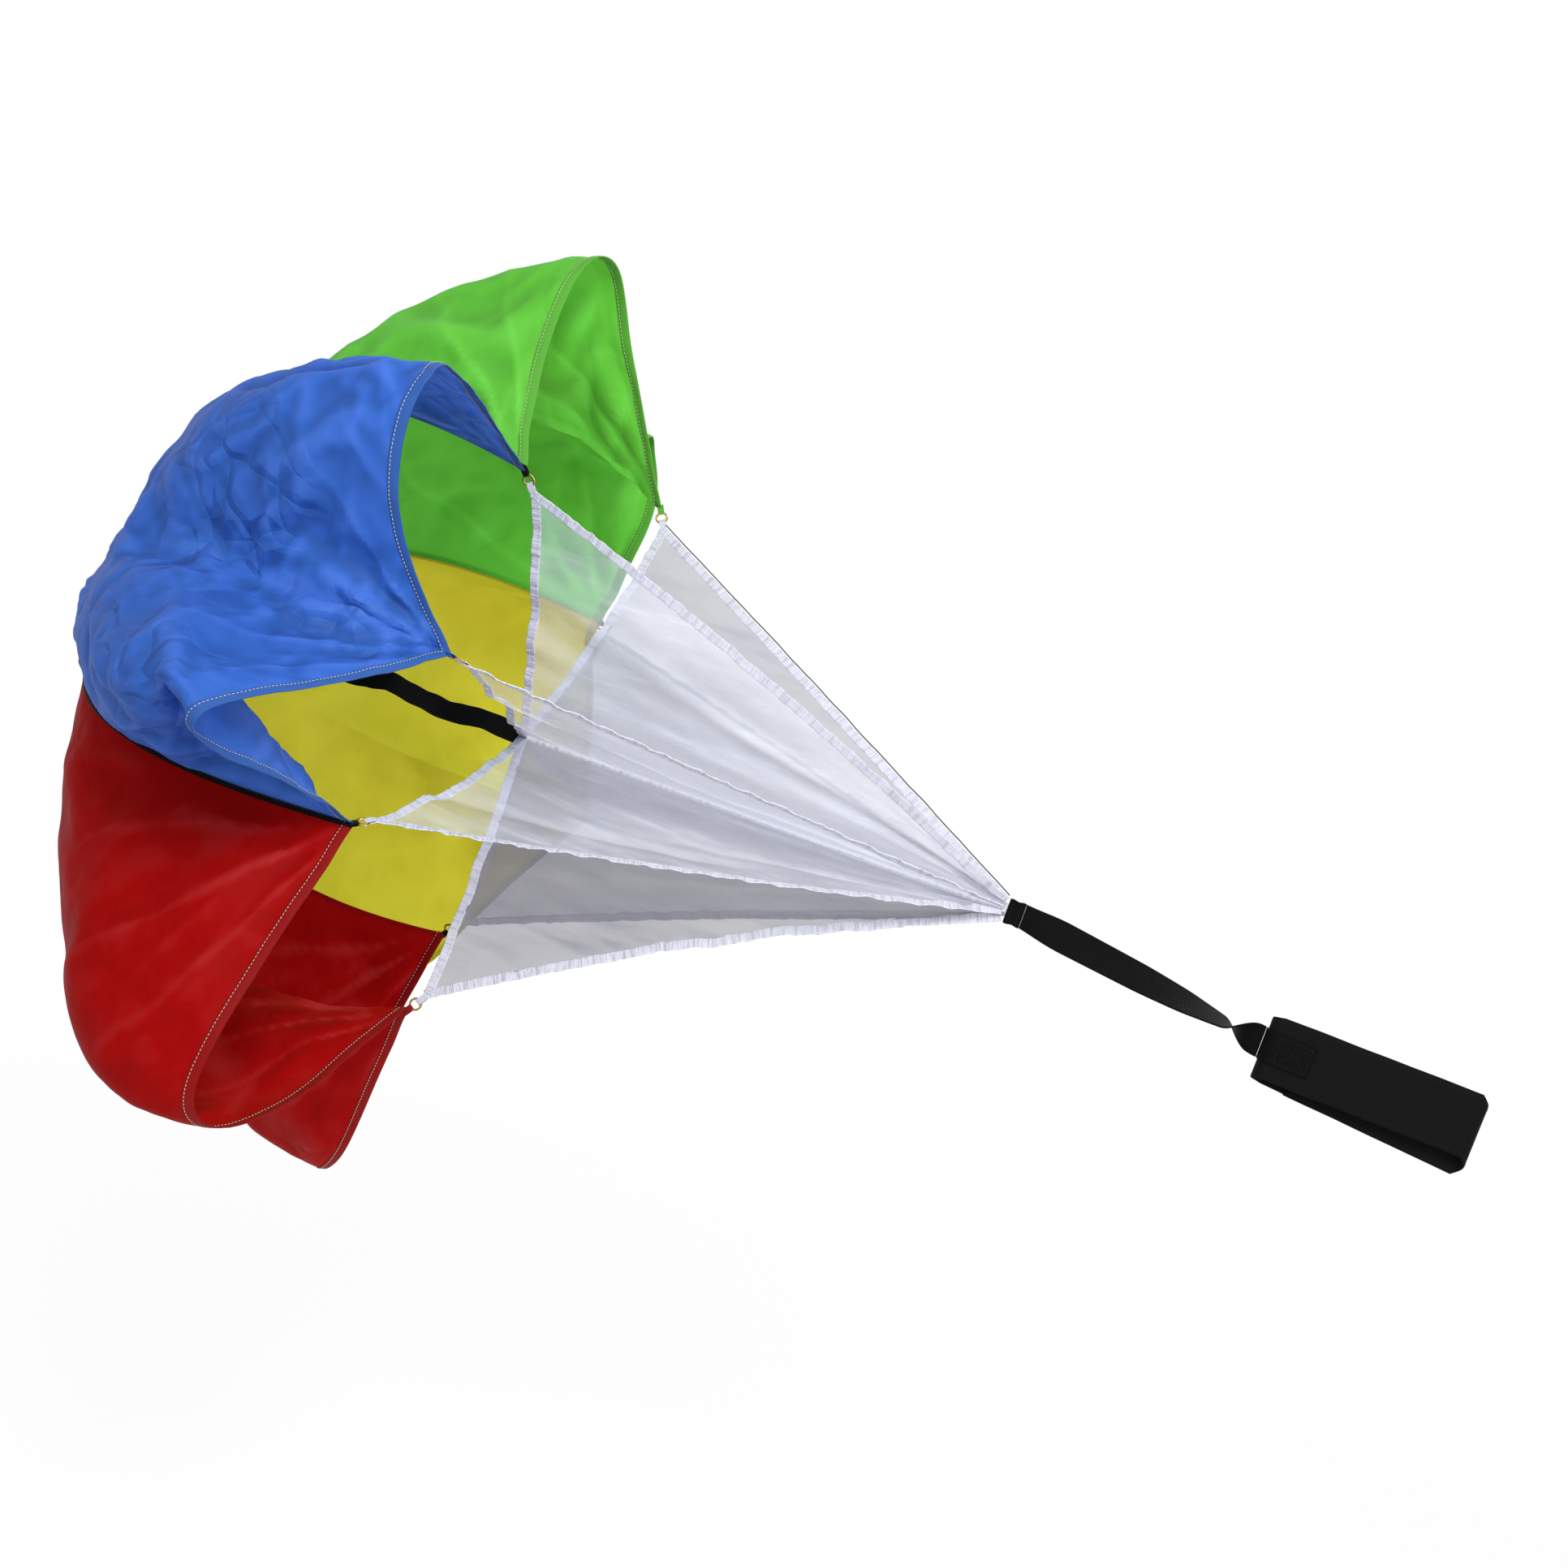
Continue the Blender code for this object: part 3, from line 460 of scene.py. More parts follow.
def band_mesh(name, stations, section=None):
    """A closed band through stations (place, side, face, width, thickness), with its UV in metres."""
    top = section or webbing_section()
    under = [(across, -up) for across, up in reversed(top[1:-1])]
    ring = list(top) + under
    places = []
    for place, side, face, width, thickness in stations:
        for across, up in ring:
            places.append(place + side * (across * width / 2) + face * (up * thickness / 2))
    count = len(ring)
    faces = []
    for low in range(len(stations) - 1):
        for left in range(count):
            right = (left + 1) % count
            faces.append((low * count + left, low * count + right, (low + 1) * count + right, (low + 1) * count + left))
    faces.append(tuple(reversed(range(count))))
    faces.append(tuple((len(stations) - 1) * count + index for index in range(count)))
    mesh = bpy.data.meshes.new(name)
    mesh.from_pydata(places, [], faces)
    run = [0.0]
    for before, after in zip(stations, stations[1:]):
        run.append(run[-1] + (after[0] - before[0]).length)
    layer = mesh.uv_layers.new(name="cloth")
    for loop in mesh.loops:
        row, column = divmod(loop.vertex_index, count)
        layer.data[loop.index].uv = (ring[column][0] * stations[row][3] / 2, run[row])
    mesh.update()
    fix_outside(mesh)
    return mesh


def fix_outside(mesh):
    """Turn a closed mesh's faces outwards."""
    shape = bmesh.new()
    shape.from_mesh(mesh)
    bmesh.ops.recalc_face_normals(shape, faces=shape.faces)
    shape.to_mesh(mesh)
    shape.free()


def walk(places, pitch, start=0.0):
    """Spots at an even pitch along a line of places: index, share to the next place, and the way along."""
    spots = []
    left = start + pitch / 2
    for index in range(len(places) - 1):
        step = places[index + 1] - places[index]
        length = step.length
        while left < length:
            spots.append((index, left / length, step.normalized()))
            left += pitch
        left -= length
    return spots


def model_stitch():
    """One stitch: a short thread, fat in the middle, that dips into the cloth at both ends."""
    deselect()
    bpy.ops.mesh.primitive_uv_sphere_add(segments=6, ring_count=4, radius=0.5, rotation=(0.0, math.pi / 2, 0.0))
    stitch = bpy.context.object
    bpy.ops.object.transform_apply(location=True, rotation=True, scale=True)
    bpy.ops.object.mode_set(mode="EDIT")
    bpy.ops.mesh.select_all(action="SELECT")
    bpy.ops.transform.resize(value=(1.0, 0.24, 0.24))
    bpy.ops.object.mode_set(mode="OBJECT")
    for vertex in stitch.data.vertices:
        vertex.co.z += 0.10 - 0.55 * vertex.co.x ** 2
    places = [vertex.co.copy() for vertex in stitch.data.vertices]
    faces = [tuple(face.vertices) for face in stitch.data.polygons]
    mesh = stitch.data
    bpy.data.objects.remove(stitch)
    bpy.data.meshes.remove(mesh)
    return places, faces


def stitch_mesh(name, spots, length):
    """Copies of the stitch at spots (place, along, out)."""
    shape, corners = model_stitch()
    places = []
    faces = []
    for place, along, out in spots:
        side = out.cross(along).normalized()
        start = len(places)
        for point in shape:
            places.append(place + (along * point.x + side * point.y + out * point.z) * length)
        faces += [tuple(start + corner for corner in face) for face in corners]
    mesh = bpy.data.meshes.new(name)
    mesh.from_pydata(places, [], faces)
    mesh.update()
    fix_outside(mesh)
    return mesh


# ---- Materials ----

def start_material(name, roughness, colour):
    """A Principled material, its tree and its shader."""
    material = bpy.data.materials.new(name)
    material.use_nodes = True
    tree = material.node_tree
    shader = tree.nodes["Principled BSDF"]
    shader.inputs["Base Color"].default_value = (*colour, 1.0)
    shader.inputs["Roughness"].default_value = roughness
    return material, tree, shader


def add_node(tree, kind, links=(), **values):
    """A node with its settings, its socket values and its links from other sockets."""
    node = tree.nodes.new(kind)
    for name, value in values.items():
        if hasattr(node, name):
            setattr(node, name, value)
        else:
            node.inputs[name.replace("_", " ").title()].default_value = value
    for target, source in links:
        tree.links.new(source, node.inputs[target])
    return node


def join_values(tree, operation, first, second, clamp=False):
    """The sum, product or the like of two sockets or numbers."""
    node = tree.nodes.new("ShaderNodeMath")
    node.operation = operation
    node.use_clamp = clamp
    for slot, value in zip(node.inputs, (first, second)):
        if isinstance(value, (int, float)):
            slot.default_value = value
        else:
            tree.links.new(value, slot)
    return node.outputs[0]


def ramp(tree, factor, stops):
    """A colour ramp with its stops (place, colour)."""
    node = tree.nodes.new("ShaderNodeValToRGB")
    tree.links.new(factor, node.inputs["Fac"])
    bar = node.color_ramp
    while len(bar.elements) < len(stops):
        bar.elements.new(0.5)
    for element, (place, colour) in zip(bar.elements, stops):
        element.position = place
        element.color = (*colour, 1.0)
    return node.outputs["Color"]


def threads(tree, vector, across, pitch):
    """Even threads across one direction of a vector, from 0 to 1."""
    wave = add_node(tree, "ShaderNodeTexWave", links=(("Vector", vector),), wave_type="BANDS",
                    bands_direction=across, wave_profile="SIN")
    wave.inputs["Scale"].default_value = math.pi / 10 / pitch
    return wave.outputs["Fac"]


def cloth_noise(tree, vector, scale, detail=2.0, roughness=0.5):
    """Soft noise on a vector."""
    node = add_node(tree, "ShaderNodeTexNoise", links=(("Vector", vector),))
    node.inputs["Scale"].default_value = scale
    node.inputs["Detail"].default_value = detail
    node.inputs["Roughness"].default_value = roughness
    return node.outputs["Fac"]


def add_bump(tree, height, strength, distance, under=None):
    """A bump, on top of another bump's normal where one is given."""
    node = tree.nodes.new("ShaderNodeBump")
    node.inputs["Strength"].default_value = strength
    node.inputs["Distance"].default_value = distance
    tree.links.new(height, node.inputs["Height"])
    if under is not None:
        tree.links.new(under, node.inputs["Normal"])
    return node.outputs["Normal"]


def mix_colours(tree, factor, first, second, blend="MIX"):
    """A mix of two colours or colour sockets."""
    node = tree.nodes.new("ShaderNodeMix")
    node.data_type = "RGBA"
    node.blend_type = blend
    for name, value in (("Factor", factor), ("A", first), ("B", second)):
        socket = [found for found in node.inputs if found.name == name and found.enabled][0]
        if isinstance(value, tuple):
            socket.default_value = (*value, 1.0)
        elif isinstance(value, (int, float)):
            socket.default_value = value
        else:
            tree.links.new(value, socket)
    return [found for found in node.outputs if found.enabled][0]


def scaled(colour, share):
    """A colour made darker or lighter."""
    return tuple(min(part * share, 1.0) for part in colour)


def crumples(tree, vector, scale):
    """Flat facets with sharp creases between them, as nylon keeps where it was crushed."""
    wander = add_node(tree, "ShaderNodeTexNoise", links=(("Vector", vector),))
    wander.inputs["Scale"].default_value = scale * 0.45
    wander.inputs["Detail"].default_value = 2.0
    drift = add_node(tree, "ShaderNodeVectorMath", links=((0, wander.outputs["Color"]),), operation="SCALE")
    drift.inputs["Scale"].default_value = 1.1 / scale
    moved = add_node(tree, "ShaderNodeVectorMath", links=((0, vector), (1, drift.outputs["Vector"])), operation="ADD")
    cells = add_node(tree, "ShaderNodeTexVoronoi", links=(("Vector", moved.outputs["Vector"]),),
                     feature="DISTANCE_TO_EDGE")
    cells.inputs["Scale"].default_value = scale
    return join_values(tree, "MINIMUM", cells.outputs["Distance"], 0.16)


def cloth_material(name, colour, glow, through, crumple):
    """Coated nylon: fine weave, cloudy wear, light that comes through from behind, and painted shade in the fold
    hollows with a painted highlight on the fold ridges.
    """
    material, tree, shader = start_material(name, 0.5, colour)
    uv = add_node(tree, "ShaderNodeTexCoord")
    fold = add_node(tree, "ShaderNodeAttribute", attribute_name="fold").outputs["Fac"]
    cloudy = cloth_noise(tree, uv.outputs["Object"], 7.0, 4.0, 0.6)
    streaky = cloth_noise(tree, uv.outputs["Object"], 60.0, 3.0, 0.6)
    # Painted shade and highlight: darker in the fold hollows, lighter towards glow, a painted highlight colour, on the
    # fold ridges
    shade = ramp(tree, fold, ((0.10, scaled(colour, 0.70)), (0.5, colour), (0.9, glow)))
    shade = mix_colours(tree, join_values(tree, "MULTIPLY", cloudy, 0.5), shade, scaled(colour, 0.84))
    shade = mix_colours(tree, join_values(tree, "MULTIPLY", streaky, 0.15), shade, glow)
    warp = threads(tree, uv.outputs["UV"], "X", 0.0012)
    weft = threads(tree, uv.outputs["UV"], "Y", 0.0012)
    weave = join_values(tree, "MULTIPLY", warp, weft)
    shade = mix_colours(tree, join_values(tree, "MULTIPLY", weave, 0.10), shade, scaled(colour, 0.72))
    tree.links.new(shade, shader.inputs["Base Color"])
    rough = join_values(tree, "ADD", join_values(tree, "MULTIPLY", cloudy, 0.22), 0.34)
    tree.links.new(rough, shader.inputs["Roughness"])
    crease = cloth_noise(tree, uv.outputs["Object"], 38.0, 5.0, 0.62)
    normal = add_bump(tree, weave, 0.22, 0.0002)
    normal = add_bump(tree, crease, 0.35, 0.0022, normal)
    busy = add_node(tree, "ShaderNodeMapRange", links=(("Value", cloth_noise(tree, uv.outputs["Object"], 4.6)),))
    for side, value in (("From Min", 0.44), ("From Max", 0.60), ("To Min", 0.04), ("To Max", 1.0)):
        busy.inputs[side].default_value = value
    crushed = join_values(tree, "ADD", crumples(tree, uv.outputs["Object"], 8.0),
                          join_values(tree, "MULTIPLY", crumples(tree, uv.outputs["Object"], 19.0), 0.45))
    crushed = join_values(tree, "MULTIPLY", crushed, busy.outputs["Result"])
    normal = add_bump(tree, crushed, 1.0, 0.045 * crumple, normal)
    tree.links.new(normal, shader.inputs["Normal"])
    shader.inputs["Sheen Weight"].default_value = 0.02
    shader.inputs["Sheen Roughness"].default_value = 0.45
    shader.inputs["Specular IOR Level"].default_value = 0.03 + 0.10 * min(colour[1] + colour[2], 1.0)
    passed = add_node(tree, "ShaderNodeGamma", links=(("Color", shade),))
    passed.inputs["Gamma"].default_value = 0.55
    light = add_node(tree, "ShaderNodeBsdfTranslucent", links=(("Color", passed.outputs["Color"]), ("Normal", normal)))
    mix = tree.nodes.new("ShaderNodeMixShader")
    mix.inputs["Fac"].default_value = through
    tree.links.new(shader.outputs["BSDF"], mix.inputs[1])
    tree.links.new(light.outputs["BSDF"], mix.inputs[2])
    tree.links.new(mix.outputs["Shader"], tree.nodes["Material Output"].inputs["Surface"])
    return material


def net_material(name, colour, cover):
    """Sheer polyester mesh: crossing threads with holes between them, painted lighter on its fold ridges and crease
    streaks, darker in its fold hollows, and greyer where a fin carries painted shade.
    """
    material, tree, shader = start_material(name, 0.55, colour)
    uv = add_node(tree, "ShaderNodeTexCoord")
    warp = threads(tree, uv.outputs["UV"], "X", 0.0016)
    weft = threads(tree, uv.outputs["UV"], "Y", 0.0016)
    both = join_values(tree, "MAXIMUM", warp, weft)
    cloudy = cloth_noise(tree, uv.outputs["Object"], 9.0, 3.0, 0.6)
    fold = add_node(tree, "ShaderNodeAttribute", attribute_name="fold").outputs["Fac"]
    dim = add_node(tree, "ShaderNodeAttribute", attribute_name="dim").outputs["Fac"]
    drawn = add_node(tree, "ShaderNodeMapping", links=(("Vector", uv.outputs["UV"]),))
    drawn.inputs["Scale"].default_value = (34.0, 4.5, 1.0)
    drawn.inputs["Rotation"].default_value = (0.0, 0.0, 0.22)
    # Painted highlight: streaks of stretched noise are painted lighter and a little more opaque, as creases catching
    # the light
    crease = ramp(tree, cloth_noise(tree, drawn.outputs["Vector"], 1.0, 4.0, 0.62),
                  ((0.46, (0.0, 0.0, 0.0)), (0.60, (0.35, 0.35, 0.35)), (0.72, (1.0, 1.0, 1.0))))
    alpha = join_values(tree, "MULTIPLY", both, 0.20)
    alpha = join_values(tree, "ADD", alpha, join_values(tree, "MULTIPLY", cloudy, 0.10))
    alpha = join_values(tree, "ADD", alpha, join_values(tree, "MULTIPLY", fold, 0.16))
    alpha = join_values(tree, "ADD", alpha, join_values(tree, "MULTIPLY", crease, 0.22))
    # Painted shade also makes the shaded fins more opaque, so that they read grey
    alpha = join_values(tree, "ADD", alpha, join_values(tree, "MULTIPLY", dim, 0.32))
    alpha = join_values(tree, "ADD", alpha, cover - 0.38, clamp=True)
    tree.links.new(alpha, shader.inputs["Alpha"])
    # Painted shade and highlight: darker in the fold hollows, near white on the fold ridges
    shade = ramp(tree, fold, ((0.1, scaled(colour, 0.80)), (0.6, colour), (1.0, (0.95, 0.95, 0.98))))
    shade = mix_colours(tree, join_values(tree, "MULTIPLY", crease, 0.45), shade, (0.90, 0.90, 0.95))
    # Painted shade: fins with a painted shade value are darkened towards a dark grey
    shade = mix_colours(tree, join_values(tree, "MULTIPLY", dim, 0.80), shade, scaled(colour, 0.18))
    tree.links.new(shade, shader.inputs["Base Color"])
    tree.links.new(add_bump(tree, both, 0.3, 0.0002), shader.inputs["Normal"])
    shader.inputs["Sheen Weight"].default_value = 0.2
    shader.inputs["Specular IOR Level"].default_value = 0.35
    return material


def tape_material(name, colour, pitch, rib, deep=0.72, gather=0.0):
    """Woven tape: ribs across it, a finer weave along it, soft grime, and gathers where it is puckered, with painted
    shade in the gathers' hollows.
    """
    material, tree, shader = start_material(name, 0.7, colour)
    uv = add_node(tree, "ShaderNodeTexCoord")
    ribs = threads(tree, uv.outputs["UV"], "Y", pitch)
    weave = threads(tree, uv.outputs["UV"], "X", pitch * 0.7)
    both = join_values(tree, "MULTIPLY", ribs, weave)
    cloudy = cloth_noise(tree, uv.outputs["Object"], 28.0, 4.0, 0.6)
    shade = mix_colours(tree, join_values(tree, "MULTIPLY", both, 0.5), scaled(colour, deep), colour)
    shade = mix_colours(tree, join_values(tree, "MULTIPLY", cloudy, 0.4), shade, scaled(colour, deep + 0.08))
    tree.links.new(shade, shader.inputs["Base Color"])
    rough = join_values(tree, "ADD", join_values(tree, "MULTIPLY", cloudy, 0.25), 0.5)
    tree.links.new(rough, shader.inputs["Roughness"])
    normal = add_bump(tree, both, rib, pitch * 0.35)
    if gather:
        drawn = add_node(tree, "ShaderNodeMapping", links=(("Vector", uv.outputs["UV"]),))
        drawn.inputs["Scale"].default_value = (30.0, 170.0, 1.0)
        gathers = cloth_noise(tree, drawn.outputs["Vector"], 1.0, 2.0, 0.5)
        normal = add_bump(tree, gathers, 1.0, gather, normal)
        # Painted shade: the tape is darkened in the gathers' hollows
        painted_hollow_shade = ramp(tree, gathers, ((0.34, (1.0, 1.0, 1.0)), (0.52, (0.0, 0.0, 0.0))))
        shade = mix_colours(tree, join_values(tree, "MULTIPLY", painted_hollow_shade, 0.6), shade, scaled(colour, 0.62))
        tree.links.new(shade, shader.inputs["Base Color"])
    pucker = cloth_noise(tree, uv.outputs["Object"], 90.0, 2.0, 0.5)
    tree.links.new(add_bump(tree, pucker, 0.3, 0.001, normal), shader.inputs["Normal"])
    shader.inputs["Sheen Weight"].default_value = 0.02
    shader.inputs["Specular IOR Level"].default_value = 0.12
    return material


def webbing_material(name, colour, pitch, fuzz):
    """Black webbing: slanting ribs both ways, smooth selvedges, lighter in random cloudy patches."""
    material, tree, shader = start_material(name, 0.65, colour)
    uv = add_node(tree, "ShaderNodeTexCoord")
    split = add_node(tree, "ShaderNodeSeparateXYZ", links=(("Vector", uv.outputs["UV"]),))
    side = join_values(tree, "ABSOLUTE", split.outputs["X"], 0.0)
    slant = join_values(tree, "ADD", join_values(tree, "PINGPONG", side, 0.006), split.outputs["Y"])
    turned = add_node(tree, "ShaderNodeCombineXYZ", links=(("X", slant), ("Y", split.outputs["X"])))
    ribs = threads(tree, turned.outputs["Vector"], "X", pitch)
    lines = threads(tree, turned.outputs["Vector"], "Y", pitch * 0.8)
    both = join_values(tree, "MULTIPLY", ribs, lines)
    cloudy = cloth_noise(tree, uv.outputs["Object"], 24.0, 5.0, 0.65)
    # Lighter and darker in random cloudy patches of noise
    cloudy_tone = ramp(tree, cloudy, ((0.35, scaled(colour, 0.8)), (0.75, scaled(colour, 1.9))))
    shade = mix_colours(tree, join_values(tree, "MULTIPLY", both, 0.55), scaled(colour, 0.6), cloudy_tone)
    tree.links.new(shade, shader.inputs["Base Color"])
    rough = join_values(tree, "ADD", join_values(tree, "MULTIPLY", cloudy, 0.3), 0.45)
    tree.links.new(rough, shader.inputs["Roughness"])
    normal = add_bump(tree, both, 0.55, pitch * 0.3)
    fine = cloth_noise(tree, uv.outputs["Object"], 420.0, 2.0, 0.6)
    tree.links.new(add_bump(tree, fine, fuzz, 0.0006, normal), shader.inputs["Normal"])
    shader.inputs["Sheen Weight"].default_value = 0.005
    shader.inputs["Sheen Roughness"].default_value = 0.5
    shader.inputs["Specular IOR Level"].default_value = 0.05
    return material


def hook_loop_material(name, colour):
    """Hook-and-loop patch: a dense nap of little loops."""
    material, tree, shader = start_material(name, 0.9, colour)
    place = add_node(tree, "ShaderNodeTexCoord").outputs["Object"]
    nap = add_node(tree, "ShaderNodeTexVoronoi", links=(("Vector", place),))
    nap.inputs["Scale"].default_value = 900.0
    cloudy = cloth_noise(tree, place, 40.0, 3.0, 0.6)
    shade = mix_colours(tree, nap.outputs["Distance"], scaled(colour, 2.2), scaled(colour, 0.5))
    shade = mix_colours(tree, join_values(tree, "MULTIPLY", cloudy, 0.4), shade, scaled(colour, 1.6))
    tree.links.new(shade, shader.inputs["Base Color"])
    tree.links.new(add_bump(tree, nap.outputs["Distance"], 0.8, 0.0008), shader.inputs["Normal"])
    shader.inputs["Sheen Weight"].default_value = 0.1
    return material


def brass_material(name, colour):
    """Tarnished brass wire with fine drawn scratches."""
    material, tree, shader = start_material(name, 0.3, colour)
    place = add_node(tree, "ShaderNodeTexCoord").outputs["Object"]
    tarnish = cloth_noise(tree, place, 160.0, 4.0, 0.6)
    shade = mix_colours(tree, tarnish, colour, scaled(colour, 0.55))
    tree.links.new(shade, shader.inputs["Base Color"])
    tree.links.new(join_values(tree, "ADD", join_values(tree, "MULTIPLY", tarnish, 0.3), 0.2),
                   shader.inputs["Roughness"])
    scratch = cloth_noise(tree, place, 900.0, 2.0, 0.5)
    tree.links.new(add_bump(tree, scratch, 0.2, 0.0002), shader.inputs["Normal"])
    shader.inputs["Metallic"].default_value = 1.0
    return material


def thread_material(name, colour):
    """Twisted polyester thread."""
    material, tree, shader = start_material(name, 0.6, colour)
    place = add_node(tree, "ShaderNodeTexCoord").outputs["Object"]
    ply = cloth_noise(tree, place, 700.0, 2.0, 0.5)
    shade = mix_colours(tree, ply, scaled(colour, 0.75), scaled(colour, 1.15))
    tree.links.new(shade, shader.inputs["Base Color"])
    tree.links.new(add_bump(tree, ply, 0.4, 0.0003), shader.inputs["Normal"])
    shader.inputs["Sheen Weight"].default_value = 0.04
    shader.inputs["Specular IOR Level"].default_value = 0.15
    return material


def once(name, make, *facts):
    """A material that is made the first time it is asked for."""
    name = "dressed_" + name
    return bpy.data.materials.get(name) or make(name, *facts)


# ---- Sizes and colours that a user would change ----

class ParachuteCloth(bpy.types.PropertyGroup):
    """The canopy's cloth."""
    blue: bpy.props.FloatVectorProperty(
        name="Blue", description="Colour of the blue panel", default=(0.050, 0.172, 0.620),
        subtype="COLOR", min=0.0, max=1.0)
    red: bpy.props.FloatVectorProperty(
        name="Red", description="Colour of the red panel", default=(0.420, 0.002, 0.002),
        subtype="COLOR", min=0.0, max=1.0)
    yellow: bpy.props.FloatVectorProperty(
        name="Yellow", description="Colour of the yellow panel", default=(0.760, 0.720, 0.060),
        subtype="COLOR", min=0.0, max=1.0)
    green: bpy.props.FloatVectorProperty(
        name="Green", description="Colour of the green panel", default=(0.160, 0.600, 0.062),
        subtype="COLOR", min=0.0, max=1.0)
    thickness: bpy.props.FloatProperty(
        name="Cloth thickness", description="Thickness of the nylon", default=0.0005, unit="LENGTH")
    crumple: bpy.props.FloatProperty(
        name="Crumple depth", description="How deep the sharp crumples are", default=0.0150, unit="LENGTH")
    fan: bpy.props.FloatProperty(
        name="Fan fold depth", description="How deep the folds are that fan out of the tips", default=0.0075,
        unit="LENGTH")
    swell: bpy.props.FloatProperty(
        name="Swell", description="How far the cloth swells and sinks between folds", default=0.0080, unit="LENGTH")
    hem: bpy.props.FloatProperty(
        name="Hem width", description="Width of the turned and stitched hem", default=0.0130, unit="LENGTH")
    through: bpy.props.FloatProperty(
        name="Light through", description="Share of the light that comes through the cloth", default=0.46,
        subtype="FACTOR", min=0.0, max=1.0)


class ParachuteNet(bpy.types.PropertyGroup):
    """The mesh fins and their bindings."""
    colour: bpy.props.FloatVectorProperty(
        name="Mesh", description="Colour of the mesh", default=(0.80, 0.82, 0.95),
        subtype="COLOR", min=0.0, max=1.0)
    binding: bpy.props.FloatVectorProperty(
        name="Binding", description="Colour of the bindings", default=(0.66, 0.67, 0.76),
        subtype="COLOR", min=0.0, max=1.0)
    cover: bpy.props.FloatProperty(
        name="Cover", description="How much of what is behind it the mesh hides", default=0.41,
        subtype="FACTOR", min=0.1, max=1.0)
    fold: bpy.props.FloatProperty(
        name="Fold depth", description="How deep the mesh's long folds are", default=0.0075, unit="LENGTH")
    ruffle: bpy.props.FloatProperty(
        name="Ruffle depth", description="How far the gathered bindings wave", default=0.0010, unit="LENGTH")


class ParachuteWebbing(bpy.types.PropertyGroup):
    """The straps, belt, tapes and stitching."""
    black: bpy.props.FloatVectorProperty(
        name="Black", description="Colour of the webbing", default=(0.0030, 0.0030, 0.0033),
        subtype="COLOR", min=0.0, max=1.0)
    thread: bpy.props.FloatVectorProperty(
        name="Thread", description="Colour of the hems' thread", default=(0.62, 0.55, 0.42),
        subtype="COLOR", min=0.0, max=1.0)
    brass: bpy.props.FloatVectorProperty(
        name="Brass", description="Colour of the tie rings", default=(0.62, 0.42, 0.16),
        subtype="COLOR", min=0.0, max=1.0)
    rib: bpy.props.FloatProperty(
        name="Rib pitch", description="Pitch of the webbing's ribs", default=0.0018, unit="LENGTH")
    stitch: bpy.props.FloatProperty(
        name="Stitch length", description="Length of one stitch", default=0.0032, unit="LENGTH")
    pitch: bpy.props.FloatProperty(
        name="Stitch pitch", description="From one stitch to the next", default=0.0046, unit="LENGTH")


class ParachuteStage(bpy.types.PropertyGroup):
    """The floor, the light and the camera."""
    floor: bpy.props.FloatProperty(
        name="Floor drop", description="How far the floor is below the belt", default=1.25, unit="LENGTH")
    key: bpy.props.FloatProperty(
        name="Key light", description="Power of the main lamp", default=92.0, unit="POWER")
    fill: bpy.props.FloatProperty(
        name="Fill light", description="Power of the lamp that softens the shadows", default=55.0, unit="POWER")
    back: bpy.props.FloatProperty(
        name="Back light", description="Power of the lamp behind and above", default=50.0, unit="POWER")
    world: bpy.props.FloatProperty(
        name="Surround", description="Strength of the even light all round", default=0.50, min=0.0, max=2.0)
    lens: bpy.props.FloatProperty(
        name="Lens", description="Focal length", default=50.56, unit="CAMERA")


# ---- Folds in the cloth ----

def facets(place, size, seed):
    """Flat facets with straight creases between them."""
    offset = Vector((seed * 7.3, seed * 3.1, seed * 5.7))
    bent = place / size + noise.noise_vector(place / (size * 2.6) + offset) * 0.55 + offset
    near = noise.voronoi(bent)[0]
    return 0.9 * min(near[1] - near[0], 0.55) - 0.2


def fan_fold(place, corner, along, hemward, seed, count):
    """Folds that fan out of a tip, sharp at their ridges and dying away from it."""
    way = place - corner
    reach = way.length
    if reach < 1e-6:
        return 0.0
    turn = math.atan2(way.dot(hemward), way.dot(along))
    wander = noise.noise(place * 9.0 + Vector((seed, 0.0, 0.0))) * 0.9
    wave = math.sin(turn * count + seed * 2.1 + wander)
    ridge = 1.0 - 2.0 * abs(wave) ** 0.7
    return ridge * smooth(0.015, 0.10, reach) * math.exp(-reach / 0.22)


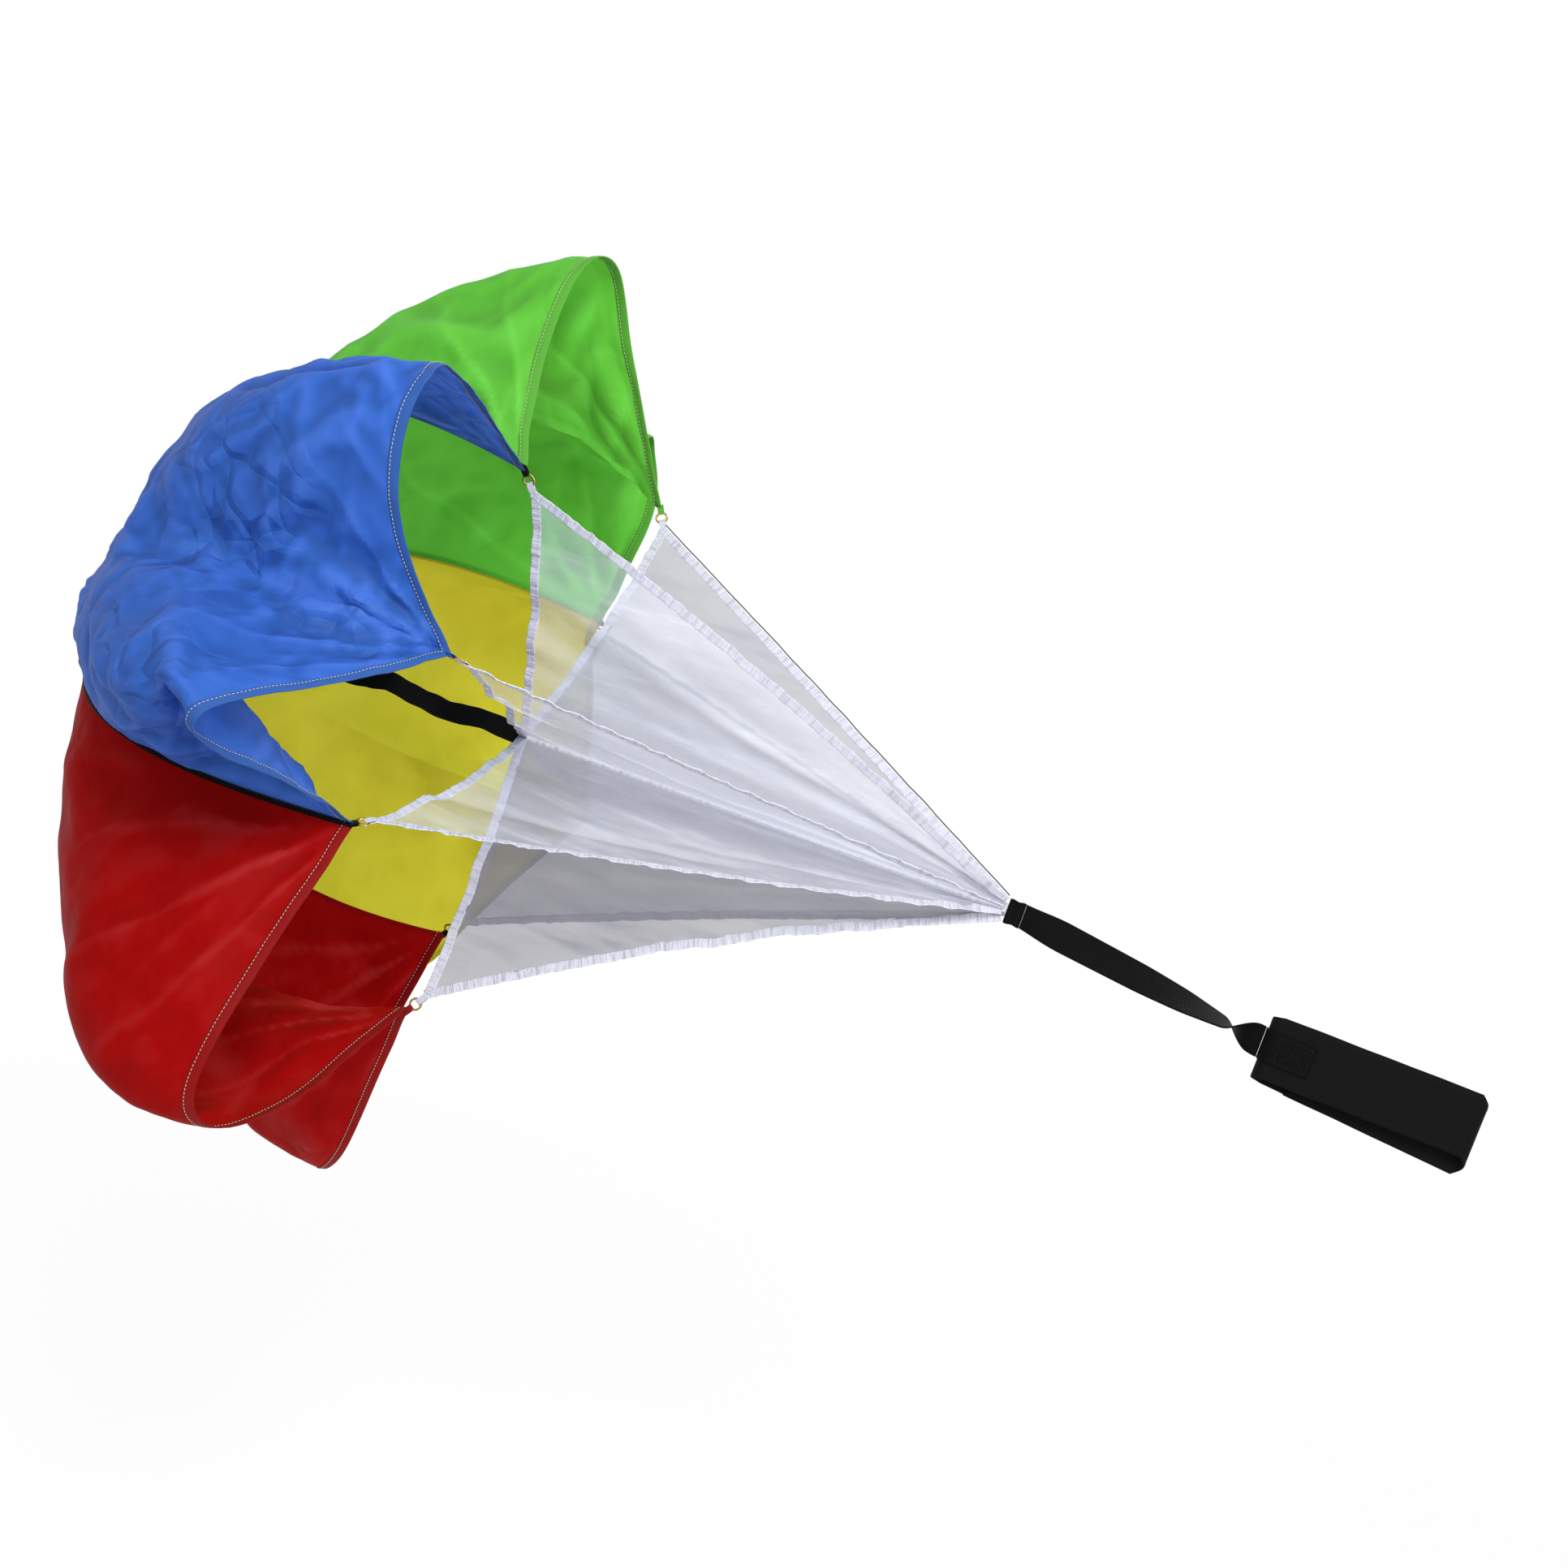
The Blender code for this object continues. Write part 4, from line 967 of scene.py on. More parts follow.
def cloth_heights(rows, first_lobe, look, crumple, fan):
    """How far each place of a panel stands off the smooth form."""
    over, up = row_lengths(rows)
    corners = []
    for lobe in (first_lobe, first_lobe + 1):
        for tip, sign in ((lobe, 1.0), (lobe + 1, -1.0)):
            corner = valley_place(tip, 0.0)
            along = (valley_place(tip, 0.04) - corner).normalized()
            hemward = (arch_place(lobe, 0.0, -sign * 0.9) - corner).normalized()
            hemward = (hemward - along * hemward.dot(along)).normalized()
            corners.append((lobe, corner, along, hemward, tip * 1.7 + sign))
    heights = []
    middle = LOBE_STEPS
    for i, row in enumerate(rows):
        line = []
        for j, place in enumerate(row):
            lobe = first_lobe if j <= middle else first_lobe + 1
            edge = min(over[i][j], over[i][-1] - over[i][j])
            seam = smooth(SEAM_TAPE_WIDTH / 2, 0.055, edge)
            crown = math.hypot(place.y - TOW_Y, place.z - AXIS_Z)
            seat = smooth(CROWN_FLAT_RADIUS, 0.12, crown)
            hem = up[i][j]
            loose = lerp(0.45, 1.0, smooth(0.0, 0.06, hem))
            busy = smooth(-0.25, 0.30, noise.noise(place * 4.2 + Vector((first_lobe * 3.3, 1.7, 0.4))))
            busy = lerp(0.25, 1.0, busy)
            height = look.swell * noise.noise(place / 0.17 + Vector((first_lobe * 2.0, 0.0, 5.0)))
            sharp = facets(place, 0.110, first_lobe) + 0.45 * facets(place, 0.055, first_lobe + 11)
            height += look.crumple * crumple * busy * sharp
            height += look.crumple * 0.22 * noise.noise(place / 0.055 + Vector((0.0, first_lobe, 9.0)))
            spread = 0.0
            for owner, corner, along, hemward, seed in corners:
                if owner == lobe:
                    spread += fan_fold(place, corner, along, hemward, seed, 8.5)
            height += look.fan * fan * spread
            drape = math.sin(over[i][j] / 0.021 + 2.2 * noise.noise(place * 8.0))
            height += 0.0022 * drape * math.exp(-hem / 0.05)
            line.append(height * seam * seat * loose)
        heights.append(line)
    return heights


def row_normals(rows):
    """The outward way at each place of a panel."""
    normals = []
    last = len(rows) - 1
    for i, row in enumerate(rows):
        above = rows[min(i + 1, last)]
        below = rows[max(i - 1, 0)]
        line = []
        for j in range(len(row)):
            left = row[max(j - 1, 0)]
            right = row[min(j + 1, len(row) - 1)]
            line.append((above[j] - below[j]).cross(right - left).normalized())
        normals.append(line)
    return normals


def slack_pull(lobe, share, across):
    """How far the cloth has moved where a lobe is slack."""
    total = Vector((0.0, 0.0, 0.0))
    for owner, middle, reach, depth, spread, move in PULLS:
        if owner == lobe % TIP_COUNT:
            weight = math.exp(-((across - middle) / reach) ** 2 - ((share - depth) / spread) ** 2)
            total += Vector(move) * weight
    return total * smooth(0.0, 0.14, 1 - abs(across)) * smooth(1.0, 0.7, share) if share < 0.7 else total * 0.0


def panel_rows(first_lobe):
    """Rows of places over a panel's two lobes, from the hem back to the hole in the crown."""
    rows = []
    columns = [2 * step / LOBE_STEPS - 1 for step in range(LOBE_STEPS + 1)]
    for step in range(CROWN_STEPS + 1):
        share = step / CROWN_STEPS
        row = []
        for lobe in (first_lobe, first_lobe + 1):
            spot = lobe_frame(lobe, share)
            places = [arch_place(lobe, share, across, spot) + slack_pull(lobe, share, across) for across in columns]
            row += places if lobe == first_lobe else places[1:]
        row[0] = row[0] + (row[1] - row[0]).normalized() * SEAT_GAP / 2
        row[-1] = row[-1] + (row[-2] - row[-1]).normalized() * SEAT_GAP / 2
        rows.append(row)
    crown = Vector((CROWN_X, TOW_Y, AXIS_Z))
    rows.append([crown.lerp(place, CROWN_HOLE_RADIUS / CROWN_FLAT_RADIUS) for place in rows[-1]])
    return rows


def spread_out(offsets, reach, axis):
    """Offsets evened out over their neighbours along one axis of the sheet."""
    lines = numpy.moveaxis(offsets, axis, 0)
    lines = numpy.concatenate([numpy.repeat(lines[:1], reach, 0), lines, numpy.repeat(lines[-1:], reach, 0)])
    sums = numpy.concatenate([numpy.zeros_like(lines[:1]), numpy.cumsum(lines, 0)])
    return numpy.moveaxis((sums[2 * reach + 1:] - sums[:-2 * reach - 1]) / (2 * reach + 1), 0, axis)


def buckled_offsets(name, rows):
    """How the panel's cloth buckles when it has a little spare width, as moves of its places."""
    spare, bending, hold, disturbance, calm = SLACKS[name]
    count = len(rows[0])
    mesh = sheet_mesh("slack_" + name, rows)
    cloth = bpy.data.objects.new("slack_" + name, mesh)
    bpy.context.scene.collection.objects.link(cloth)
    held = cloth.vertex_groups.new(name="held")
    over, _ = row_lengths(rows)
    for i, row in enumerate(rows):
        for j, place in enumerate(row):
            edge = min(over[i][j], over[i][-1] - over[i][j])
            crown = math.hypot(place.y - TOW_Y, place.z - AXIS_Z)
            fixed = i == 0 or i >= len(rows) - 4 or edge < SEAM_TAPE_WIDTH * 0.6 or crown < CROWN_FLAT_RADIUS * 1.25
            held.add([i * count + j], 1.0 if fixed else hold, "REPLACE")
    fabric = cloth.modifiers.new("slack", "CLOTH")
    settings = fabric.settings
    settings.quality = 4
    settings.mass = 0.15
    settings.tension_stiffness = 20
    settings.compression_stiffness = 20
    settings.shear_stiffness = 5
    settings.bending_stiffness = bending
    settings.tension_damping = 5
    settings.compression_damping = 5
    settings.shear_damping = 5
    settings.bending_damping = 0.5
    settings.air_damping = 3
    settings.vertex_group_mass = "held"
    settings.pin_stiffness = 1
    settings.shrink_min = -spare
    settings.effector_weights.gravity = 0
    fabric.collision_settings.use_collision = False
    fabric.collision_settings.use_self_collision = False
    fabric.point_cache.frame_start = 1
    fabric.point_cache.frame_end = SLACK_FRAMES + 5
    deselect()
    bpy.ops.object.effector_add(type="TURBULENCE", location=(0.0, 0.0, 0.0))
    gust = bpy.context.object
    gust.field.strength = 3.0
    gust.field.size = disturbance
    gust.field.seed = 3
    gust.field.flow = 0
    gust.field.use_global_coords = True
    for step in range(1, SLACK_FRAMES + 1):
        if step == int(SLACK_FRAMES * 0.6):
            gust.field.strength = 0.0
        bpy.context.scene.frame_set(step)
    start = numpy.array([vertex.co[:] for vertex in mesh.vertices])
    select_only(cloth)
    bpy.ops.object.modifier_apply(modifier=fabric.name)
    end = numpy.array([vertex.co[:] for vertex in cloth.data.vertices])
    bpy.context.scene.frame_set(1)
    for spent in (gust, cloth):
        bpy.data.objects.remove(spent)
    bpy.data.meshes.remove(mesh)
    moves = (end - start).reshape(len(rows), count, 3)
    drift = moves
    for _ in range(2):
        drift = spread_out(spread_out(drift, SLACK_SPREAD, 0), SLACK_SPREAD, 1)
    moves = spread_out(spread_out(moves - SLACK_SHARE * drift, calm, 0), calm, 1)
    reach = numpy.maximum(numpy.linalg.norm(moves, axis=2, keepdims=True), 1e-9)
    moves = moves * (SLACK_LIMIT * numpy.tanh(reach / SLACK_LIMIT) / reach)
    up = numpy.array(row_lengths(rows)[1])
    moves = moves * (0.2 + 0.8 * numpy.minimum(up / 0.055, 1.0) ** 1.5)[:, :, None]
    across = numpy.array(over)
    seam_gap = numpy.minimum(across, across[:, -1:] - across)
    return moves * numpy.minimum(seam_gap / SLACK_SEAM_FADE, 1.0)[:, :, None]


def fold_values(heights, step):
    """How far each place stands above its surroundings, from 0 in a hollow to 1 on a crease."""
    values = []
    for i, line in enumerate(heights):
        above = heights[min(i + step, len(heights) - 1)]
        below = heights[max(i - step, 0)]
        row = []
        for j, height in enumerate(line):
            around = (above[j] + below[j] + line[max(j - step, 0)] + line[min(j + step, len(line) - 1)]) / 4
            row.append(min(max(0.5 + (height - around) * 240.0, 0.0), 1.0))
        values.append(row)
    return values


def sheet_area(rows):
    """The area of a sheet through rows of places."""
    total = 0.0
    for low, high in zip(rows, rows[1:]):
        for j in range(len(low) - 1):
            total += (high[j + 1] - low[j]).cross(high[j] - low[j + 1]).length / 2
    return total


def built_panel(name, first_lobe, look, crumple, fan):
    """A panel's folded places, and how far each place is folded."""
    rows = panel_rows(first_lobe)
    normals = row_normals(rows)
    moves = buckled_offsets(name, rows)
    fan = fan * 0.8
    heights = cloth_heights(rows, first_lobe, look, crumple, fan)
    folded = []
    for i, (row, ways, line) in enumerate(zip(rows, normals, heights)):
        places = []
        for j, (place, way, height) in enumerate(zip(row, ways, line)):
            move = Vector(moves[i][j])
            places.append(place + way * height + move)
            line[j] = height + way.dot(move)
        folded.append(places)
    return folded, fold_values(heights, 2)


PANEL_ROWS = {}


class PARACHUTE_OT_canopy(bpy.types.Operator):
    """Four coloured panels of folded and crumpled nylon, two lobes each"""
    bl_idname = "parachute.canopy"
    bl_label = "Canopy panels"

    def execute(self, context):
        look = context.scene.parachute_cloth
        colours = {"panel_blue": look.blue, "panel_red": look.red, "panel_yellow": look.yellow,
                   "panel_green": look.green}
        for name, first_lobe, slot, crumple, fan in PANELS:
            rows, folds = built_panel(name, first_lobe, look, crumple, fan)
            PANEL_ROWS[name] = rows
            colour = tuple(colours[name])
            # glow is a lighter copy of the colour, painted on the fold ridges as a highlight
            glow = tuple(lerp(part * 1.18, 1.0, 0.03) for part in colour)
            material = once(slot, cloth_material, colour, glow, look.through, crumple)
            piece = add_piece("cloth_" + slot.replace("_cloth", ""), sheet_mesh(name, rows, folds), material,
                              "canopy", (name,))
            over, up = row_lengths(rows)
            width = over[0][-1]
            length = max(up[-1])
            area = sheet_area(rows)
            piece["flat_width"] = width
            piece["flat_length"] = length
            piece["flat_area"] = area
            apply_wall(piece, look.thickness)
        return {"FINISHED"}


def hem_section():
    """The turned hem's cross-section: inwards from the edge and up, both in half widths of the hem."""
    return ((1.0, 0.5), (0.93, 0.8), (0.5, 0.95), (0.06, 0.85), (-0.04, 0.4), (-0.04, -0.4),
            (0.06, -0.85), (0.5, -0.95), (0.93, -0.8), (1.0, -0.5))


def hem_lines(rows, width):
    """Edge, inward way and outward way of the hem at every column."""
    lines = []
    last = len(rows[0]) - 1
    for j in range(last + 1):
        edge = rows[0][j]
        inward = (rows[2][j] - edge).normalized()
        run = (rows[0][min(j + 1, last)] - rows[0][max(j - 1, 0)]).normalized()
        lines.append((edge, inward, inward.cross(run).normalized(), run))
    return lines


class PARACHUTE_OT_hems(bpy.types.Operator):
    """The turned hems of the four panels, each with its row of stitches"""
    bl_idname = "parachute.hems"
    bl_label = "Hems"

    def execute(self, context):
        look = context.scene.parachute_cloth
        sewing = context.scene.parachute_webbing
        thread = once("hem_thread", thread_material, tuple(sewing.thread))
        for name, first_lobe, slot, _, _ in PANELS:
            colour = name.replace("panel_", "")
            lines = hem_lines(PANEL_ROWS[name], look.hem)
            rows = []
            for index, (edge, inward, out, run) in enumerate(lines):
                pucker = 1.0 + 0.18 * math.sin(index * 2.6) + 0.3 * noise.noise(edge * 60.0)
                row = []
                for across, up in hem_section():
                    row.append(edge + inward * (across * look.hem) + out * (up * 0.0011 * pucker))
                rows.append(row + row[:1])
            mesh = sheet_mesh("hem_" + colour, [row for row in rows])
            shape = bmesh.new()
            shape.from_mesh(mesh)
            bmesh.ops.remove_doubles(shape, verts=shape.verts, dist=1e-6)
            bmesh.ops.holes_fill(shape, edges=shape.edges)
            bmesh.ops.recalc_face_normals(shape, faces=shape.faces)
            shape.to_mesh(mesh)
            shape.free()
            # Painted shade: the hem is the panel's colour darkened by its hem share
            deep = scaled(tuple(getattr(look, colour)), HEM_PAINTED_SHADES[colour])
            material = once("hem_" + slot, tape_material, deep, 0.0016, 0.35)
            add_piece("hem_" + colour, mesh, material, "canopy")
            spots = []
            for face in (1.0, -1.0):
                seat = [edge + inward * (look.hem * 0.80) + out * (0.00095 * face) for edge, inward, out, run in lines]
                for index, share, along in walk(seat, sewing.pitch):
                    spots.append((seat[index].lerp(seat[index + 1], share), along, lines[index][2] * face))
            add_piece("hem_stitches_" + colour, stitch_mesh("hem_stitches_" + colour, spots, sewing.stitch),
                      thread, "canopy")
        return {"FINISHED"}


def seam_stations(tip, steps):
    """A tape folded into the valley of a seam: its centre line, both sides and their outward ways."""
    reach = SEAM_TAPE_WIDTH / 2
    clear = 2 * SEAT_GAP + SEAM_TAPE_THICKNESS / 2
    rows = []
    for step in range(steps + 1):
        share = step / steps
        centre = valley_place(tip, share)
        left = (arch_place(tip - 1, share, -SEAM_NEAR_ACROSS) - centre).normalized() * -1.0
        left = (arch_place(tip - 1, share, SEAM_NEAR_ACROSS) - centre).normalized()
        right = (arch_place(tip, share, -SEAM_NEAR_ACROSS) - centre).normalized()
        before = valley_place(tip, max(share - 0.01, 0.0))
        after = valley_place(tip, min(share + 0.01, 1.0))
        along = (after - before).normalized()
        out_left = left.cross(along).normalized()
        out_right = along.cross(right).normalized()
        out = (out_left + out_right).normalized()
        lift = clear / max(out.dot(out_right), 0.2)
        row = []
        for side in (1.0, 0.66, 0.33):
            row.append(centre + left * reach * side + out_left.lerp(out, 1 - side) * clear)
        row.append(centre + out * lift)
        for side in (0.33, 0.66, 1.0):
            row.append(centre + right * reach * side + out_right.lerp(out, 1 - side) * clear)
        rows.append(row)
    return rows


class PARACHUTE_OT_seams(bpy.types.Operator):
    """Black tapes sewn over the four seams between two colours"""
    bl_idname = "parachute.seams"
    bl_label = "Seam tapes"

    def execute(self, context):
        sewing = context.scene.parachute_webbing
        black = tuple(sewing.black)
        material = once("black_tape", tape_material, black, 0.0014, 0.5)
        thread = once("black_thread", thread_material, scaled(black, 2.6))
        for index, (name, tip, _, _, _) in enumerate(PANELS):
            other = PANELS[index - 1][0].replace("panel_", "")
            label = other + "_" + name.replace("panel_", "")
            rows = seam_stations(tip, 150)
            piece = add_piece("tape_" + label, sheet_mesh("tape_" + label, rows), material, "canopy",
                              ("seam_tape_" + label,))
            apply_wall(piece, SEAM_TAPE_THICKNESS)
            spots = []
            for column, other_column in ((1, 0), (-2, -1)):
                line = [row[column] for row in rows]
                for spot, share, along in walk(line, sewing.pitch):
                    side = (rows[spot][other_column] - rows[spot][column]).normalized()
                    out = side.cross(along) * (1.0 if column == -2 else -1.0)
                    if out.dot(rows[spot][3] - canopy_place(0.0, 0.0, rows[spot][3].x - HUB_X)) < 0:
                        out = -out
                    place = line[spot].lerp(line[spot + 1], share) + out * (SEAM_TAPE_THICKNESS / 2)
                    spots.append((place, along, out))
            add_piece("tape_stitches_" + label, stitch_mesh("tape_stitches_" + label, spots, sewing.stitch),
                      thread, "canopy")
        return {"FINISHED"}


def ribbon_stations(path, turns, widths, thickness):
    """Stations of a flat strap along a path near the tow line, turned about it and square at its ends."""
    stations = []
    last = len(path) - 1
    for index, (place, turn, width) in enumerate(zip(path, turns, widths)):
        along = (path[min(index + 1, last)] - path[max(index - 1, 0)]).normalized()
        side = Vector((0.0, math.sin(turn), math.cos(turn)))
        lean = smooth(0.0, 0.05, min(index, last - index) / last)
        side = (side - along * side.dot(along) * lean).normalized()
        stations.append((place, side, along.cross(side).normalized(), width, thickness))
    return stations


class PARACHUTE_OT_crown(bpy.types.Operator):
    """The crown's two round patches and the strap that holds the crown forward"""
    bl_idname = "parachute.crown"
    bl_label = "Crown and centre strap"

    def execute(self, context):
        sewing = context.scene.parachute_webbing
        black = tuple(sewing.black)
        material = once("black_webbing", webbing_material, black, sewing.rib, 0.35)
        thread = once("black_thread", thread_material, scaled(black, 2.6))
        outer_x = CROWN_X - SEAT_GAP - CROWN_PATCH_THICKNESS / 2
        inner_x = CROWN_X + PANEL_THICKNESS + SEAT_GAP + CROWN_PATCH_THICKNESS / 2
        for name, centre_x, face in (("crown_patch_outer", outer_x, -1.0), ("crown_patch_inner", inner_x, 1.0)):
            centre = Vector((centre_x, TOW_Y, AXIS_Z))
            add_piece(name.replace("patch", "cap"), crown_cap_mesh(name, centre, face), material, "canopy",
                      (name,))
            spots = []
            for radius in (0.82, 0.62):
                ring = []
                for step in range(97):
                    angle = 2 * math.pi * step / 96
                    out = Vector((0.0, math.cos(angle), math.sin(angle))) * (CROWN_PATCH_RADIUS * radius)
                    ring.append(centre + out + Vector((face * CROWN_PATCH_THICKNESS * 0.5, 0.0, 0.0)))
                for index, share, along in walk(ring, sewing.pitch):
                    spots.append((ring[index].lerp(ring[index + 1], share), along, Vector((face, 0.0, 0.0))))
            label = name.replace("patch", "stitches")
            add_piece(label, stitch_mesh(label, spots, sewing.stitch), thread, "canopy")
        start_x = CROWN_X + PANEL_THICKNESS + 2 * SEAT_GAP + CROWN_PATCH_THICKNESS
        end_x = HUB_X - SEAT_GAP
        path = []
        turns = []
        widths = []
        for step in range(STRAP_STEPS + 1):
            share = step / STRAP_STEPS
            loose = math.sin(math.pi * share) ** 0.5
            spot = Vector((share * 7.0, 3.0, 1.0))
            wave = Vector((0.0, noise.noise(spot), noise.noise(spot * 1.7 + Vector((5.0, 0.0, 0.0)))))
            path.append(Vector((lerp(start_x, end_x, share), TOW_Y, AXIS_Z)) + wave * (0.010 * loose))
            turn = CENTRE_STRAP_TURN_DEGREES * (1 - share) + 26.0 * loose * noise.noise(spot * 1.3)
            turns.append(math.radians(turn))
            widths.append(CENTRE_STRAP_WIDTH * (1.0 + 0.20 * loose * noise.noise(spot * 3.1)))
        stations = ribbon_stations(path, turns, widths, CENTRE_STRAP_THICKNESS)
        add_piece("inner_strap", band_mesh("inner_strap", stations), material, "canopy",
                  ("centre_strap",))
        return {"FINISHED"}


def crown_cap_mesh(name, centre, face):
    """A round patch with a turned, rounded rim and a dimple in the middle."""
    deselect()
    bpy.ops.mesh.primitive_circle_add(vertices=96, radius=CROWN_PATCH_RADIUS * 0.90, fill_type="NGON",
                                      location=(0.0, 0.0, -CROWN_PATCH_THICKNESS / 2))
    cap = bpy.context.object
    bpy.ops.object.mode_set(mode="EDIT")
    bpy.ops.mesh.select_all(action="SELECT")
    bpy.ops.mesh.extrude_region_move(TRANSFORM_OT_translate={"value": (0.0, 0.0, CROWN_PATCH_THICKNESS * 0.3)})
    bpy.ops.transform.resize(value=(1.11, 1.11, 1.0))
    bpy.ops.mesh.extrude_region_move(TRANSFORM_OT_translate={"value": (0.0, 0.0, CROWN_PATCH_THICKNESS * 0.45)})
    bpy.ops.transform.resize(value=(0.985, 0.985, 1.0))
    bpy.ops.mesh.extrude_region_move(TRANSFORM_OT_translate={"value": (0.0, 0.0, CROWN_PATCH_THICKNESS * 0.22)})
    bpy.ops.transform.resize(value=(0.95, 0.95, 1.0))
    bpy.ops.mesh.inset(thickness=CROWN_PATCH_RADIUS * 0.13, depth=0.0)
    bpy.ops.mesh.inset(thickness=CROWN_PATCH_RADIUS * 0.03, depth=-CROWN_PATCH_THICKNESS * 0.12)
    bpy.ops.mesh.inset(thickness=CROWN_PATCH_RADIUS * 0.40, depth=0.0)
    bpy.ops.mesh.inset(thickness=CROWN_PATCH_RADIUS * 0.10, depth=-CROWN_PATCH_THICKNESS * 0.15)
    bpy.ops.mesh.select_all(action="SELECT")
    bpy.ops.mesh.normals_make_consistent(inside=False)
    bpy.ops.object.mode_set(mode="OBJECT")
    mesh = cap.data.copy()
    old = cap.data
    bpy.data.objects.remove(cap)
    bpy.data.meshes.remove(old)
    mesh.name = name
    layer = mesh.uv_layers.active or mesh.uv_layers.new(name="cloth")
    for loop in mesh.loops:
        spot = mesh.vertices[loop.vertex_index].co
        layer.data[loop.index].uv = (spot.x, spot.y)
    for vertex in mesh.vertices:
        spot = vertex.co.copy()
        vertex.co = centre + Vector((face * spot.z, face * -spot.x, spot.y))
    fix_outside(mesh)
    return mesh


def fin_wave(tip, share, across, look):
    """How far a fin's mesh stands sideways off its smooth form."""
    seed = Vector((tip * 4.7, tip * 1.3, 0.0))
    calm = math.sin(math.pi * min(max(across, 0.0), 1.0)) * (1 - share) ** 0.35
    spot = Vector((share * 3.2, across * 3.4, 0.0)) + seed
    long_folds = noise.noise(Vector((share * 1.6, across * 8.5, 0.0)) + seed)
    soft = noise.noise(spot)
    fine = noise.noise(Vector((share * 14.0, across * 9.0, 0.0)) + seed)
    gathered = math.sin(share * 84.0 + 5.0 * noise.noise(Vector((share * 12.0, tip, 3.0))))
    edge = math.exp(-(1.0 - across) * 9.0)
    return look.fold * (1.1 * long_folds + 1.3 * soft + 0.28 * fine) * calm + look.ruffle * 0.55 * gathered * edge * (
        smooth(1.0, 0.9, share) if share > 0.9 else 1.0)


def folded_fin_place(tip, share, across, look):
    """A place on a fin with its folds."""
    sideways = Vector((1.0, 0.0, 0.0)).cross(outward_way(tip))
    return fin_place(tip, share, across) + sideways * fin_wave(tip, share, across, look)


class PARACHUTE_OT_fins(bpy.types.Operator):
    """Eight fins of sheer mesh with soft folds, and the spine that they are sewn to"""
    bl_idname = "parachute.fins"
    bl_label = "Mesh fins"

    def execute(self, context):
        look = context.scene.parachute_net
        material = once("white_mesh", net_material, tuple(look.colour), look.cover)
        for tip in range(TIP_COUNT):
            rows = []
            folds = []
            for step in range(FIN_LONG_STEPS + 1):
                share = lerp(0.0155, 1.0, step / FIN_LONG_STEPS)
                edge = lerp(tape_edge(tip, share, FIN_TAPE_WIDTH), 1.0, 0.12)
                row = []
                line = []
                for column in range(FIN_CROSS_STEPS + 1):
                    across = edge * column / FIN_CROSS_STEPS
                    row.append(folded_fin_place(tip, share, across, look))
                    wave = fin_wave(tip, share, across, look)
                    # The fold value drives the mesh's painted shade and highlight: one side of each sideways wave is
                    # painted lighter, the other darker
                    line.append(min(max(0.5 + 65.0 * wave, 0.0), 1.0))
                rows.append(row)
                folds.append(line)
            name = "net_" + str(tip)
            # Each fin's share of painted shade goes onto its sheet
            piece = add_piece(name, sheet_mesh(name, rows, folds, FIN_PAINTED_SHADE_SHARES[tip]), material, "canopy",
                              ("mesh_fin_" + str(tip),))
        start = Vector((HUB_X, TOW_Y, AXIS_Z))
        end = Vector((APEX_X - SEAT_GAP, TOW_Y, APEX_Z))
        stations = []
        along = (end - start).normalized()
        side = Vector((0.0, 1.0, 0.0))
        for step in range(241):
            share = step / 240
            fat = 2 * SPINE_RADIUS * (1.0 + 0.10 * math.sin(step * 1.9))
            stations.append((start.lerp(end, share), side, along.cross(side), fat, fat))
        ring = [(-math.cos(math.pi * step / 8), math.sin(math.pi * step / 8)) for step in range(9)]
        binding = once("white_tape", tape_material, tuple(look.binding), 0.0022, 0.6, 0.88, 0.0035)
        add_piece("seam_cord", band_mesh("seam_cord", stations, ring), binding, "canopy", ("fin_spine",))
        return {"FINISHED"}


def binding_section():
    """A folded binding's cross-section: fat at its fold and flat at its open edge."""
    return ((-1.0, 0.0), (-0.97, 0.45), (-0.90, 0.62), (-0.55, 0.58), (-0.42, 0.50), (0.0, 0.62), (0.5, 0.72),
            (0.80, 0.85), (0.94, 0.75), (0.99, 0.40), (1.0, 0.0))


def lead_stations(tip, look):
    """Stations of the gathered binding on a fin's leading edge."""
    outward = outward_way(tip)
    sideways = Vector((1.0, 0.0, 0.0)).cross(outward)
    stations = []
    for step in range(BINDING_STEPS + 1):
        share = lerp(0.006, 0.996, step / BINDING_STEPS)
        edge = tape_edge(tip, share, FIN_TAPE_WIDTH)
        inner = folded_fin_place(tip, share, edge, look)
        outer = folded_fin_place(tip, share, 1.0, look)
        run = share * 95.0
        gather = noise.noise(Vector((run * 0.45, tip * 3.0, 0.0)))
        calm = smooth(0.0, 0.05, share) * smooth(0.0, 0.06, 1.0 - share)
        outer = outer + sideways * (look.ruffle * calm * (math.sin(run * 1.25 + 3.0 * gather) + gather))
        outer = outer + outward * (0.0016 * calm * noise.noise(Vector((run * 0.8, tip, 7.0))))
        middle = (inner + outer) / 2
        side = (outer - inner)
        width = min(side.length, FIN_TAPE_WIDTH * 1.15)
        side = side.normalized()
        along = (leading_place(tip, min(share + 0.01, 1.0)) - leading_place(tip, max(share - 0.01, 0.0))).normalized()
        flat_side = (side - along * side.dot(along)).normalized()
        pinch = 1.0 + 0.35 * calm * noise.noise(Vector((run * 2.6, tip, 2.0)))
        width = min(width * abs(side.dot(flat_side)), FIN_TAPE_WIDTH) * (1.0 + 0.10 * calm * gather)
        middle = outer - flat_side * (width / 2)
        stations.append((middle, flat_side, along.cross(flat_side).normalized(), width, FIN_TAPE_THICKNESS * pinch))
    return stations


